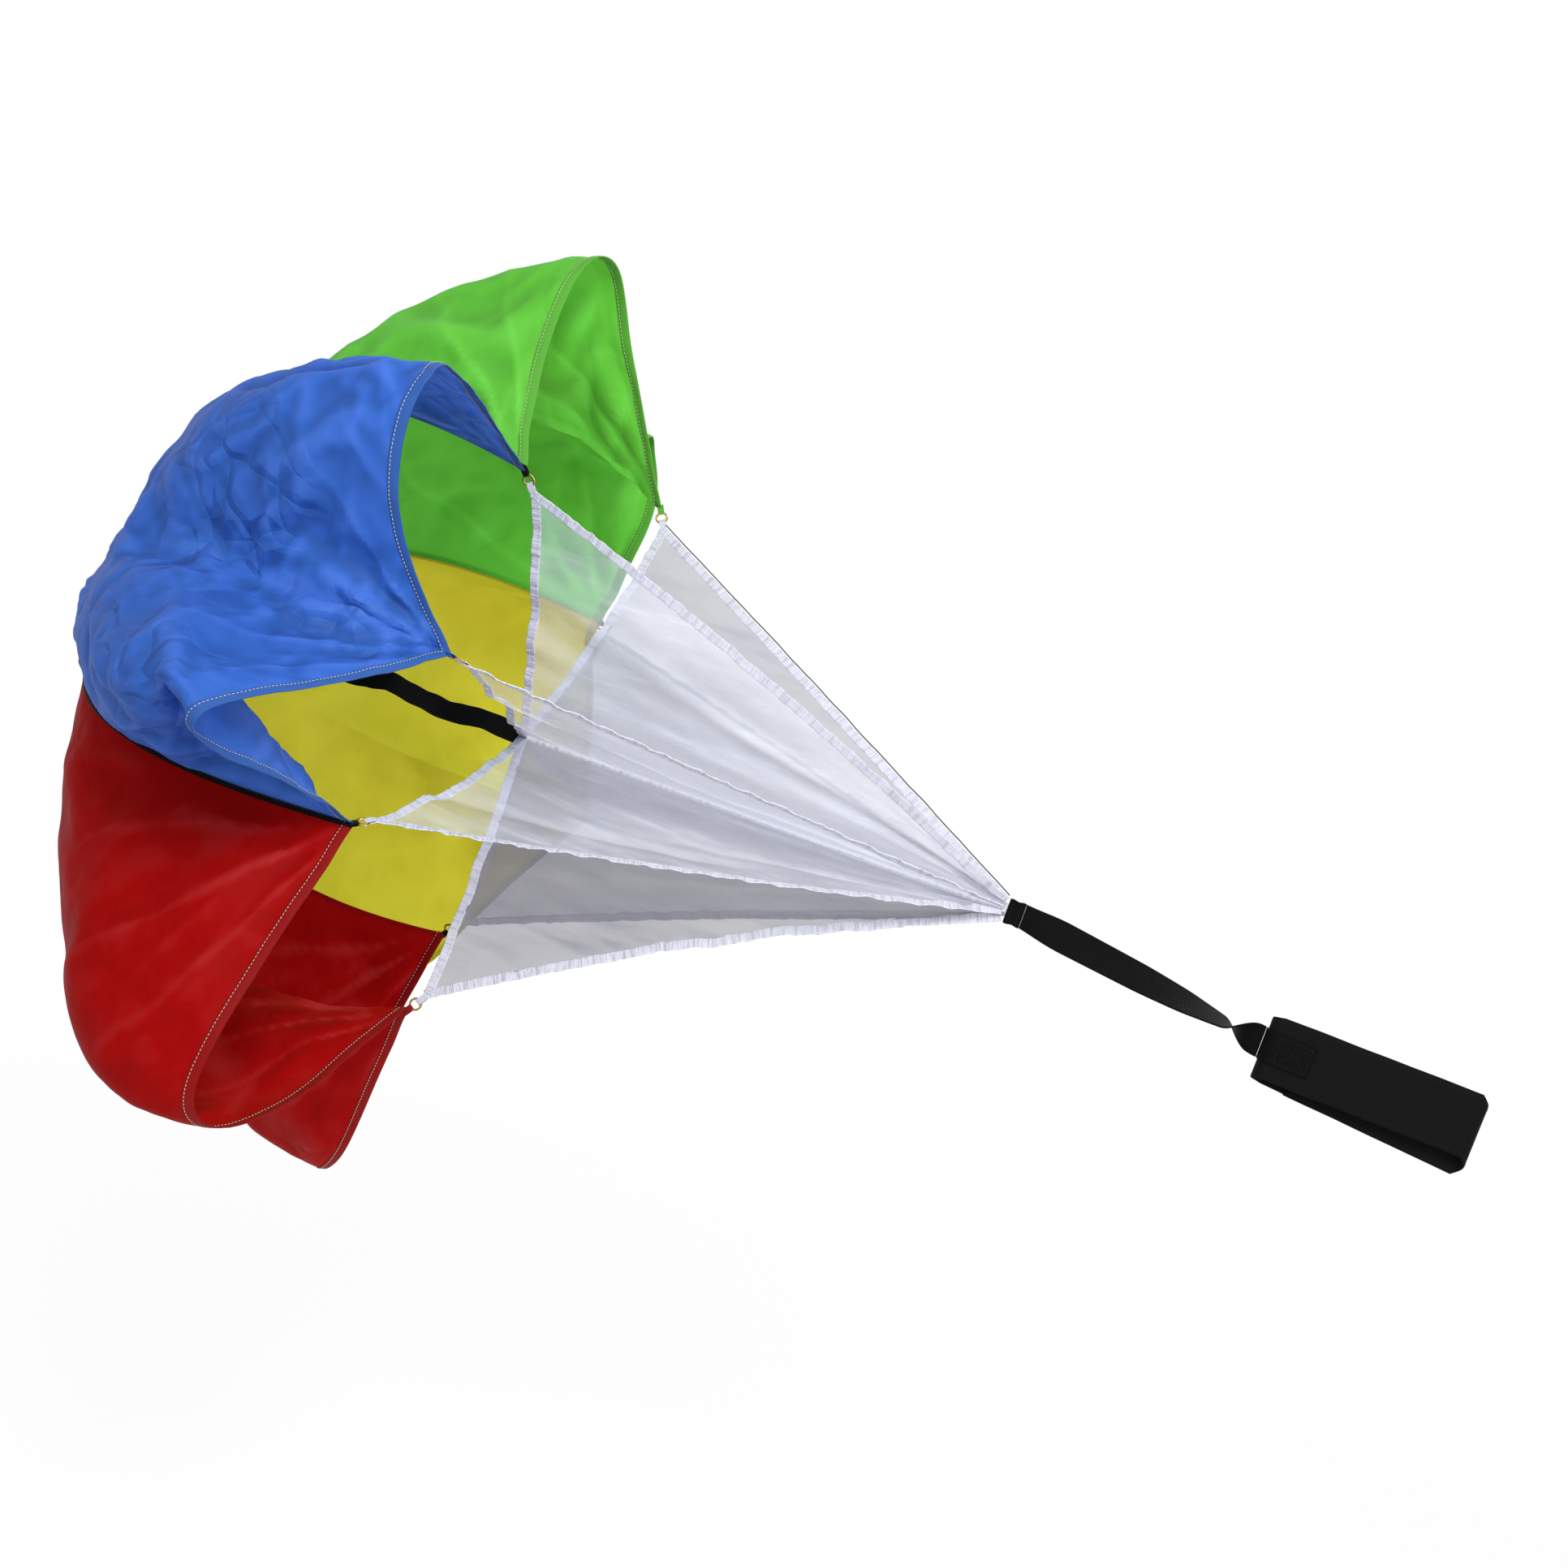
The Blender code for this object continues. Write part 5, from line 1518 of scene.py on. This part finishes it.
def base_stations(tip, look):
    """Stations of the gathered binding on a fin's base edge."""
    outward = outward_way(tip)
    sideways = Vector((1.0, 0.0, 0.0)).cross(outward)
    stations = []
    steps = BINDING_STEPS // 2
    for step in range(steps + 1):
        across = lerp(0.0, 0.985, step / steps)
        share = FIN_TAPE_WIDTH / 2 / FIN_LENGTH
        place = folded_fin_place(tip, share, across, look)
        run = across * 48.0
        gather = noise.noise(Vector((run * 0.5, tip * 2.0, 5.0)))
        calm = smooth(0.0, 0.06, across) * smooth(0.0, 0.08, 1.0 - across)
        place = place + sideways * (look.ruffle * 0.7 * calm * (math.sin(run * 1.2 + 4.0 * gather) + gather))
        ahead = fin_place(tip, share, min(across + 0.02, 1.0)) - fin_place(tip, share, max(across - 0.02, 0.0))
        along = ahead.normalized()
        inward = (fin_place(tip, share + 0.02, across) - fin_place(tip, share, across)).normalized()
        side = -(inward - along * inward.dot(along)).normalized()
        tilt = 0.08 * calm * math.sin(run * 1.2 + 4.0 * gather)
        side = (side + sideways * tilt).normalized()
        pinch = 1.0 + 0.35 * calm * noise.noise(Vector((run * 2.4, tip, 8.0)))
        width = FIN_TAPE_WIDTH * (1.0 + 0.12 * calm * gather)
        stations.append((place, side, along.cross(side).normalized(), width, FIN_TAPE_THICKNESS * pinch))
    return stations


class PARACHUTE_OT_bindings(bpy.types.Operator):
    """Gathered white bindings on the fins' leading and base edges, with their stitches"""
    bl_idname = "parachute.bindings"
    bl_label = "Fin bindings"

    def execute(self, context):
        look = context.scene.parachute_net
        sewing = context.scene.parachute_webbing
        binding = once("white_tape", tape_material, tuple(look.binding), 0.0022, 0.6, 0.88, 0.0035)
        thread = once("white_thread", thread_material, (0.64, 0.65, 0.74))
        for tip in range(TIP_COUNT):
            spots = []
            for label, stations in (("lead", lead_stations(tip, look)), ("base", base_stations(tip, look))):
                name = label + "_binding_" + str(tip)
                add_piece(name, band_mesh(name, stations, binding_section()), binding, "canopy",
                          (label + "_tape_" + str(tip),))
                for face in (1.0, -1.0):
                    seat = [place - side * (width * 0.26) + up * (face * thickness * 0.27)
                            for place, side, up, width, thickness in stations]
                    for index, share, along in walk(seat, sewing.pitch * 1.3):
                        spots.append((seat[index].lerp(seat[index + 1], share), along, stations[index][2] * face))
            name = "fin_stitches_" + str(tip)
            add_piece(name, stitch_mesh(name, spots, sewing.stitch), thread, "canopy")
        return {"FINISHED"}


def loop_stations(centre, along, across, length, width, thickness):
    """A closed-looking tape loop: out, round a ring and back."""
    stations = []
    steps = 40
    for step in range(steps + 1):
        angle = math.pi * (0.06 + 1.88 * step / steps)
        place = centre + along * (length / 2 * math.cos(angle)) + across * (width * 0.20 * math.sin(angle))
        tangent = (along * (-length / 2 * math.sin(angle)) + across * (width * 0.20 * math.cos(angle))).normalized()
        side = along.cross(across).normalized()
        stations.append((place, side, tangent.cross(side).normalized(), width, thickness))
    return stations


class PARACHUTE_OT_ties(bpy.types.Operator):
    """The tie rings' brass, and the tape loops that sew each ring to its fin and its canopy tip"""
    bl_idname = "parachute.ties"
    bl_label = "Ties at the tips"

    def execute(self, context):
        look = context.scene.parachute_net
        cloth = context.scene.parachute_cloth
        sewing = context.scene.parachute_webbing
        brass = once("tie_brass", brass_material, tuple(sewing.brass))
        white = once("white_tape", tape_material, tuple(look.binding), 0.0022, 0.6, 0.88, 0.0035)
        black = once("black_tape", tape_material, tuple(sewing.black), 0.0014, 0.5)
        # The tip tabs share the hems' colours, with their painted shade
        painted_shade_blue, green, red, yellow = [
            once("hem_" + name + "_cloth", tape_material, scaled(tuple(getattr(cloth, name)), HEM_PAINTED_SHADES[name]),
                 0.0016, 0.35) for name in ("blue", "green", "red", "yellow")]
        tabs = ((green, "green_cloth"), (black, "black_tape"), (painted_shade_blue, "blue_cloth"), (black, "black_tape"),
                (red, "red_cloth"), (black, "black_tape"), (yellow, "yellow_cloth"), (black, "black_tape"))
        for tip in range(TIP_COUNT):
            node = bpy.data.objects["tie_ring_" + str(tip)]
            for slot in node.material_slots:
                slot.material = brass
            way = corner_way(tip)
            sideways = Vector((1.0, 0.0, 0.0)).cross(outward_way(tip))
            flat = way.cross(sideways).normalized()
            near = tip_place(tip) + way * (RING_WIRE_RADIUS * 2)
            far = fin_corner(tip) - way * (RING_WIRE_RADIUS * 2)
            material, slot = tabs[tip]
            for label, place, reach, paint, home in (
                    ("tip_loop_", near - way * 0.004, 0.013, material, slot),
                    ("fin_loop_", far + way * 0.004, 0.014, white, "white_tape")):
                name = label + str(tip)
                sign = 1.0 if label == "tip_loop_" else -1.0
                stations = loop_stations(place, way * -sign, sideways, reach, 0.008, 0.0009)
                add_piece(name, band_mesh(name, stations), paint, "canopy")
        edge = []
        for step in range(301):
            share = lerp(0.0, 0.995, step / 300)
            sideways = Vector((1.0, 0.0, 0.0)).cross(outward_way(0))
            edge.append(folded_fin_place(0, share, 1.0, look) + outward_way(0) * 0.0022
                        + sideways * (0.0010 * math.sin(share * 60.0)))
        stations = []
        for index, place in enumerate(edge):
            along = (edge[min(index + 1, 300)] - edge[max(index - 1, 0)]).normalized()
            side = along.cross(outward_way(0)).normalized()
            stations.append((place, side, along.cross(side), 0.0014, 0.0014))
        ring = [(-math.cos(math.pi * step / 4), math.sin(math.pi * step / 4)) for step in range(5)]
        dark = once("black_thread", thread_material, scaled(tuple(sewing.black), 2.6))
        add_piece("edge_thread", band_mesh("edge_thread", stations, ring), dark, "canopy")
        return {"FINISHED"}


def tow_stations(steps):
    """Stations of the tow strap with its half twist."""
    start_x = CANOPY_HINGE_X - STRAP_THICKNESS / 2
    end_x = TOW_HINGE_X + STRAP_THICKNESS / 2
    path = []
    turns = []
    widths = []
    for step in range(steps + 1):
        share = step / steps
        widths.append(lerp(APEX_TAB_WIDTH, STRAP_WIDTH, smooth(0.0, STRAP_GATHER_SHARE * 1.5, share)))
        path.append(Vector((lerp(start_x, end_x, share), TOW_Y, lerp(APEX_Z, 0.0, share))))
        turns.append(math.radians(eased_turn(share)))
    return rounded_ends(ribbon_stations(path, turns, widths, STRAP_THICKNESS))


def rounded_ends(stations):
    """The stations with both ends rounded over, so that they turn at a hinge without cutting in."""
    ends = []
    for place, side, face, width, thickness in (stations[0], stations[-1]):
        inward = side.cross(face).normalized()
        if inward.dot(stations[len(stations) // 2][0] - place) < 0:
            inward = -inward
        caps = []
        for degrees in (12, 30, 50, 70):
            angle = math.radians(degrees)
            spot = place + inward * (thickness / 2 * (1 - math.cos(angle)))
            caps.append((spot, side, face, width, thickness * math.sin(angle)))
        ends.append(caps)
    inside = [station for station in stations if min((station[0] - stations[0][0]).length,
                                                     (station[0] - stations[-1][0]).length) > STRAP_THICKNESS / 2]
    return ends[0] + inside + ends[1][::-1]


def eased_turn(share):
    """The strap's turn in degrees, evened out over its neighbours."""
    spread = 0.02
    total = 0.0
    for step in range(-4, 5):
        total += table_value(STRAP_TURN_DEGREES, min(max(share + spread * step / 4, 0.0), 1.0))
    return total / 9


class PARACHUTE_OT_tow_strap(bpy.types.Operator):
    """The twisted tow strap, and the tab that gathers the fins' apex"""
    bl_idname = "parachute.tow_strap"
    bl_label = "Tow strap"

    def execute(self, context):
        sewing = context.scene.parachute_webbing
        black = tuple(sewing.black)
        material = once("black_webbing", webbing_material, black, sewing.rib, 0.35)
        thread = once("black_thread", thread_material, scaled(black, 2.6))
        add_piece("strap_webbing", band_mesh("strap_webbing", tow_stations(STRAP_STEPS * 2)), material, "strap",
                  ("tow_strap",))
        tab = []
        for step in range(25):
            share = step / 24
            x = lerp(APEX_X + SEAT_GAP, TAB_FRONT_X, share)
            width = APEX_TAB_WIDTH * (1.0 + 0.04 * math.sin(share * 9.0))
            tab.append((Vector((x, TOW_Y, APEX_Z)), Vector((0.0, 0.0, 1.0)), Vector((0.0, -1.0, 0.0)), width,
                        STRAP_THICKNESS * 1.3))
        add_piece("gather_tab", band_mesh("gather_tab", tab), material, "canopy", ("apex_tab",))
        spots = []
        for face in (1.0, -1.0):
            for share in (0.25, 0.75):
                x = lerp(APEX_X, TAB_FRONT_X, share)
                line = [Vector((x, TOW_Y - face * STRAP_THICKNESS * 0.62, APEX_Z - 0.012 + 0.024 * step / 12))
                        for step in range(13)]
                for index, part, along in walk(line, sewing.pitch):
                    spots.append((line[index].lerp(line[index + 1], part), along, Vector((0.0, -face, 0.0))))
        add_piece("tab_stitches", stitch_mesh("tab_stitches", spots, sewing.stitch), thread, "canopy")
        return {"FINISHED"}


def back_drop(x):
    """How far the back layer of the belt hangs below the front one."""
    share = (x - LEFT_FOLD_X) / (RIGHT_FOLD_X - LEFT_FOLD_X)
    return -lerp(BELT_FOLD_DROP, BELT_END_DROP, min(max(share, 0.0), 1.0))


def run_places(start_x, end_x, y, drop, steps):
    """Places along a straight layer of the belt."""
    places = []
    for step in range(steps + 1):
        x = lerp(start_x, end_x, step / steps)
        places.append(Vector((x, y, drop(x))))
    return places


def fold_places(centre_x, centre_y, radius, start, end, start_drop, end_drop, steps):
    """Places round a fold of the belt, with the layer sliding down as it turns."""
    places = []
    for step in range(steps + 1):
        share = step / steps
        angle = math.radians(lerp(start, end, share))
        places.append(Vector((centre_x + radius * math.cos(angle), centre_y + radius * math.sin(angle),
                              lerp(start_drop, end_drop, share))))
    return places


def band_path():
    """The band from its inner end, round the right fold, along the front, round the left fold to the flap."""
    tail_x = FLAP_HINGE_X - FLAP_OVERLAP_TAIL
    right_y = (INNER_BACK_Y + FRONT_Y) / 2
    left_y = (FLAP_Y + FRONT_Y) / 2
    end_x = FLAP_HINGE_X - BELT_THICKNESS / 2 - SEAT_GAP
    path = run_places(tail_x, RIGHT_FOLD_X, INNER_BACK_Y, back_drop, 60)[:-1]
    path += fold_places(RIGHT_FOLD_X, right_y, RIGHT_FOLD_RADIUS, 90, -90, back_drop(RIGHT_FOLD_X), 0.0, 28)
    path += run_places(RIGHT_FOLD_X, LEFT_FOLD_X, FRONT_Y, lambda x: 0.0, 60)[1:-1]
    path += fold_places(LEFT_FOLD_X, left_y, LEFT_FOLD_RADIUS, 270, 90, 0.0, back_drop(LEFT_FOLD_X), 28)
    path += run_places(LEFT_FOLD_X, end_x, FLAP_Y, back_drop, 12)[1:]
    return path


def upright_stations(path, width, thickness, wobble=0.0, seed=0.0):
    """Stations of a band that stands upright along a path."""
    stations = []
    last = len(path) - 1
    for index, place in enumerate(path):
        along = path[min(index + 1, last)] - path[max(index - 1, 0)]
        along = Vector((along.x, along.y, 0.0)).normalized()
        up = Vector((0.0, 0.0, 1.0))
        face = along.cross(up).normalized()
        wave = wobble * noise.noise(place * 22.0 + Vector((seed, 0.0, 0.0)))
        stations.append((place + face * wave * 0.3, up, face, width * (1.0 + wave * 8.0), thickness))
    return stations


def edge_stitches(stations, inset, pitch, faces=(1.0, -1.0)):
    """Spots of the stitches that run along both edges of a band."""
    spots = []
    for face in faces:
        for edge in (1.0, -1.0):
            seat = [place + side * (edge * (width / 2 - inset)) + up * (face * thickness / 2 * 0.98)
                    for place, side, up, width, thickness in stations]
            for index, share, along in walk(seat, pitch):
                spots.append((seat[index].lerp(seat[index + 1], share), along, stations[index][2] * face))
    return spots


class PARACHUTE_OT_belt(bpy.types.Operator):
    """The waist belt, its peeling flap, hook-and-loop patches and the sewn end of the tow strap"""
    bl_idname = "parachute.belt"
    bl_label = "Waist belt"

    def execute(self, context):
        sewing = context.scene.parachute_webbing
        black = tuple(sewing.black)
        belt = once("black_belt", webbing_material, scaled(black, 1.9), sewing.rib * 0.7, 0.5)
        webbing = once("black_webbing", webbing_material, black, sewing.rib, 0.35)
        nap = once("hook_and_loop", hook_loop_material, scaled(black, 2.0))
        thread = once("black_thread", thread_material, scaled(black, 2.6))
        band = upright_stations(band_path(), BELT_WIDTH, BELT_THICKNESS, 0.0012, 2.0)
        add_piece("belt_band", band_mesh("belt_band", band), belt, "belt", ("waist_belt",))
        spots = edge_stitches(band, 0.0045, sewing.pitch)
        start_x = FLAP_HINGE_X - BELT_THICKNESS / 2
        flap = upright_stations(run_places(start_x, start_x + FLAP_LENGTH, FLAP_Y, back_drop, 60), BELT_WIDTH,
                                BELT_THICKNESS)
        add_piece("flap_band", band_mesh("flap_band", flap), belt, "flap", ("belt_flap",))
        flap_spots = edge_stitches(flap[4:], 0.0045, sewing.pitch)
        patch_x = FLAP_HINGE_X + FLAP_LENGTH - BELT_THICKNESS - PATCH_LENGTH
        loop_y = INNER_BACK_Y + BELT_THICKNESS / 2 + SEAT_GAP + PATCH_THICKNESS / 2
        hook_y = loop_y + PATCH_THICKNESS + SEAT_GAP
        for name, node, y, body in (("loop_pad", "loop_patch", loop_y, "belt"), ("hook_pad", "hook_patch", hook_y, "flap")):
            path = run_places(patch_x, patch_x + PATCH_LENGTH - BELT_THICKNESS, y, back_drop, 40)
            stations = upright_stations(path, PATCH_WIDTH, PATCH_THICKNESS)
            add_piece(name, band_mesh(name, stations), nap, body, (node,))
        offset = BELT_THICKNESS / 2 + SEAT_GAP + ANCHOR_THICKNESS / 2
        left_y = (FLAP_Y + FRONT_Y) / 2
        path = run_places(LEFT_FOLD_X + ANCHOR_LENGTH, LEFT_FOLD_X, FRONT_Y - offset, lambda x: 0.0, 30)[:-1]
        path += fold_places(LEFT_FOLD_X, left_y, LEFT_FOLD_RADIUS + offset, 270, 180, 0.0, 0.0, 20)
        anchor = upright_stations(path, STRAP_WIDTH, ANCHOR_THICKNESS)
        add_piece("strap_end", band_mesh("strap_end", anchor), webbing, "belt", ("strap_anchor",))
        box_x = (LEFT_FOLD_X + 0.004, LEFT_FOLD_X + ANCHOR_LENGTH - 0.004)
        box_z = (-STRAP_WIDTH / 2 + 0.004, STRAP_WIDTH / 2 - 0.004)
        y = FRONT_Y - offset - ANCHOR_THICKNESS / 2
        corners = [Vector((box_x[0], y, box_z[0])), Vector((box_x[1], y, box_z[0])), Vector((box_x[1], y, box_z[1])),
                   Vector((box_x[0], y, box_z[1]))]
        lines = ((0, 1), (1, 2), (2, 3), (3, 0), (0, 2), (1, 3))
        for first, second in lines:
            line = [corners[first].lerp(corners[second], step / 10) for step in range(11)]
            for index, share, along in walk(line, sewing.pitch * 0.8):
                spots.append((line[index].lerp(line[index + 1], share), along, Vector((0.0, -1.0, 0.0))))
        add_piece("belt_stitches", stitch_mesh("belt_stitches", spots, sewing.stitch * 0.8), thread, "belt")
        add_piece("flap_stitches", stitch_mesh("flap_stitches", flap_spots, sewing.stitch * 0.8), thread, "flap")
        return {"FINISHED"}


def floor_material():
    """A plain white floor that looks pure white to the camera and still keeps a soft shadow."""
    material, tree, shader = start_material("floor_white", 0.95, (0.93, 0.93, 0.93))
    shader.inputs["Specular IOR Level"].default_value = 0.1
    path = tree.nodes.new("ShaderNodeLightPath")
    seen = join_values(tree, "MAXIMUM", path.outputs["Is Camera Ray"], path.outputs["Is Transmission Ray"])
    seen = join_values(tree, "MAXIMUM", seen, path.outputs["Is Glossy Ray"])
    glow = tree.nodes.new("ShaderNodeEmission")
    glow.inputs["Color"].default_value = (1.0, 1.0, 1.0, 1.0)
    place = add_node(tree, "ShaderNodeTexCoord").outputs["Object"]
    far = add_node(tree, "ShaderNodeVectorMath", links=(("Vector", place),), operation="LENGTH").outputs["Value"]
    away = add_node(tree, "ShaderNodeMapRange", links=(("Value", far),))
    for name, value in (("From Min", 1.4), ("From Max", 3.6), ("To Min", 0.84), ("To Max", 1.0)):
        away.inputs[name].default_value = value
    mix = tree.nodes.new("ShaderNodeMixShader")
    tree.links.new(join_values(tree, "MULTIPLY", seen, away.outputs["Result"]), mix.inputs["Fac"])
    tree.links.new(shader.outputs["BSDF"], mix.inputs[1])
    tree.links.new(glow.outputs["Emission"], mix.inputs[2])
    tree.links.new(mix.outputs["Shader"], tree.nodes["Material Output"].inputs["Surface"])
    return material


def build_world(strength):
    """An even pale surround that the camera sees as white."""
    world = bpy.data.worlds.new("surround")
    bpy.context.scene.world = world
    world.use_nodes = True
    tree = world.node_tree
    ground = tree.nodes["Background"]
    ground.inputs["Color"].default_value = (1.0, 1.0, 1.0, 1.0)
    ground.inputs["Strength"].default_value = strength
    white = tree.nodes.new("ShaderNodeBackground")
    white.inputs["Color"].default_value = (1.0, 1.0, 1.0, 1.0)
    white.inputs["Strength"].default_value = 1.0
    path = tree.nodes.new("ShaderNodeLightPath")
    seen = join_values(tree, "MAXIMUM", path.outputs["Is Camera Ray"], path.outputs["Is Transmission Ray"])
    seen = join_values(tree, "MAXIMUM", seen, path.outputs["Is Glossy Ray"])
    mix = tree.nodes.new("ShaderNodeMixShader")
    tree.links.new(seen, mix.inputs["Fac"])
    tree.links.new(ground.outputs["Background"], mix.inputs[1])
    tree.links.new(white.outputs["Background"], mix.inputs[2])
    tree.links.new(mix.outputs["Shader"], tree.nodes["World Output"].inputs["Surface"])


def add_lamp(name, place, target, power, size):
    """A soft square lamp turned towards a place."""
    light = bpy.data.lights.new(name, "AREA")
    light.energy = power
    light.size = size
    lamp = bpy.data.objects.new(name, light)
    lamp.location = place
    lamp.rotation_euler = (Vector(target) - Vector(place)).to_track_quat("-Z", "Y").to_euler()
    bpy.context.scene.collection.objects.link(lamp)


class PARACHUTE_OT_stage(bpy.types.Operator):
    """The pale floor, the soft studio light and the camera"""
    bl_idname = "parachute.stage"
    bl_label = "Stage"

    def execute(self, context):
        look = context.scene.parachute_stage
        context.scene.view_settings.view_transform = "Standard"
        deselect()
        bpy.ops.mesh.primitive_plane_add(size=40.0, location=(0.0, 0.0, 0.0))
        floor = context.object
        floor.name = "floor"
        bpy.ops.object.mode_set(mode="EDIT")
        bpy.ops.mesh.select_all(action="SELECT")
        bpy.ops.transform.translate(value=(-0.8, 0.0, -look.floor))
        bpy.ops.object.mode_set(mode="OBJECT")
        floor.data.materials.append(floor_material())
        build_world(look.world)
        middle = (-0.9, 0.0, 0.0)
        add_lamp("key_lamp", (-0.3, -2.7, 2.3), middle, look.key, 1.1)
        add_lamp("fill_lamp", (1.6, -2.2, 1.5), middle, look.fill, 2.4)
        add_lamp("back_lamp", (-0.2, 2.2, 2.6), middle, look.back, 1.6)
        data = bpy.data.cameras.new("camera")
        data.lens = look.lens
        data.sensor_width = 36.0
        camera = bpy.data.objects.new("camera", data)
        context.scene.collection.objects.link(camera)
        hub = Vector((HUB_X, TOW_Y, AXIS_Z))
        camera.location = hub + Vector((2.618, -7.509, 1.307)) * TIP_RADIUS
        right = Vector((0.9134, 0.2469, 0.3238)).normalized()
        ahead = Vector((-0.2098, 0.9669, -0.1453))
        ahead = (ahead - right * ahead.dot(right)).normalized()
        above = right.cross(ahead)
        turn = camera.rotation_euler.to_matrix()
        for row in range(3):
            turn[row][0] = right[row]
            turn[row][1] = above[row]
            turn[row][2] = -ahead[row]
        camera.rotation_euler = turn.to_euler()
        context.scene.camera = camera
        return {"FINISHED"}


class PARACHUTE_PT_sidebar(bpy.types.Panel):
    """Sizes, colours and steps of the parachute"""
    bl_label = "Speed parachute"
    bl_idname = "PARACHUTE_PT_sidebar"
    bl_space_type = "VIEW_3D"
    bl_region_type = "UI"
    bl_category = "Parachute"

    def draw(self, context):
        for group, steps in STEPS:
            box = self.layout.box()
            settings = getattr(context.scene, group)
            for name in settings.__annotations__:
                box.prop(settings, name)
            for step in steps:
                box.operator("parachute." + step)


STEPS = (
    ("parachute_cloth", ("canopy", "hems")),
    ("parachute_net", ("fins", "bindings")),
    ("parachute_webbing", ("seams", "crown", "ties", "tow_strap", "belt")),
    ("parachute_stage", ("stage",)),
)
GROUPS = (
    ("parachute_cloth", ParachuteCloth),
    ("parachute_net", ParachuteNet),
    ("parachute_webbing", ParachuteWebbing),
    ("parachute_stage", ParachuteStage),
)
CLASSES = (
    PARACHUTE_OT_canopy, PARACHUTE_OT_hems, PARACHUTE_OT_seams, PARACHUTE_OT_crown, PARACHUTE_OT_fins,
    PARACHUTE_OT_bindings, PARACHUTE_OT_ties, PARACHUTE_OT_tow_strap, PARACHUTE_OT_belt, PARACHUTE_OT_stage,
    PARACHUTE_PT_sidebar,
)


def register():
    """Add the settings, operators and panel."""
    for name, group in GROUPS:
        bpy.utils.register_class(group)
        setattr(bpy.types.Scene, name, bpy.props.PointerProperty(type=group))
    for kind in CLASSES:
        bpy.utils.register_class(kind)


def unregister():
    """Take them away again."""
    for kind in reversed(CLASSES):
        bpy.utils.unregister_class(kind)
    for name, group in reversed(GROUPS):
        delattr(bpy.types.Scene, name)
        bpy.utils.unregister_class(group)


def main():
    """Build every piece and the stage."""
    register()
    for _, steps in STEPS:
        for step in steps:
            getattr(bpy.ops.parachute, step)()


if __name__ == "__main__":
    main()
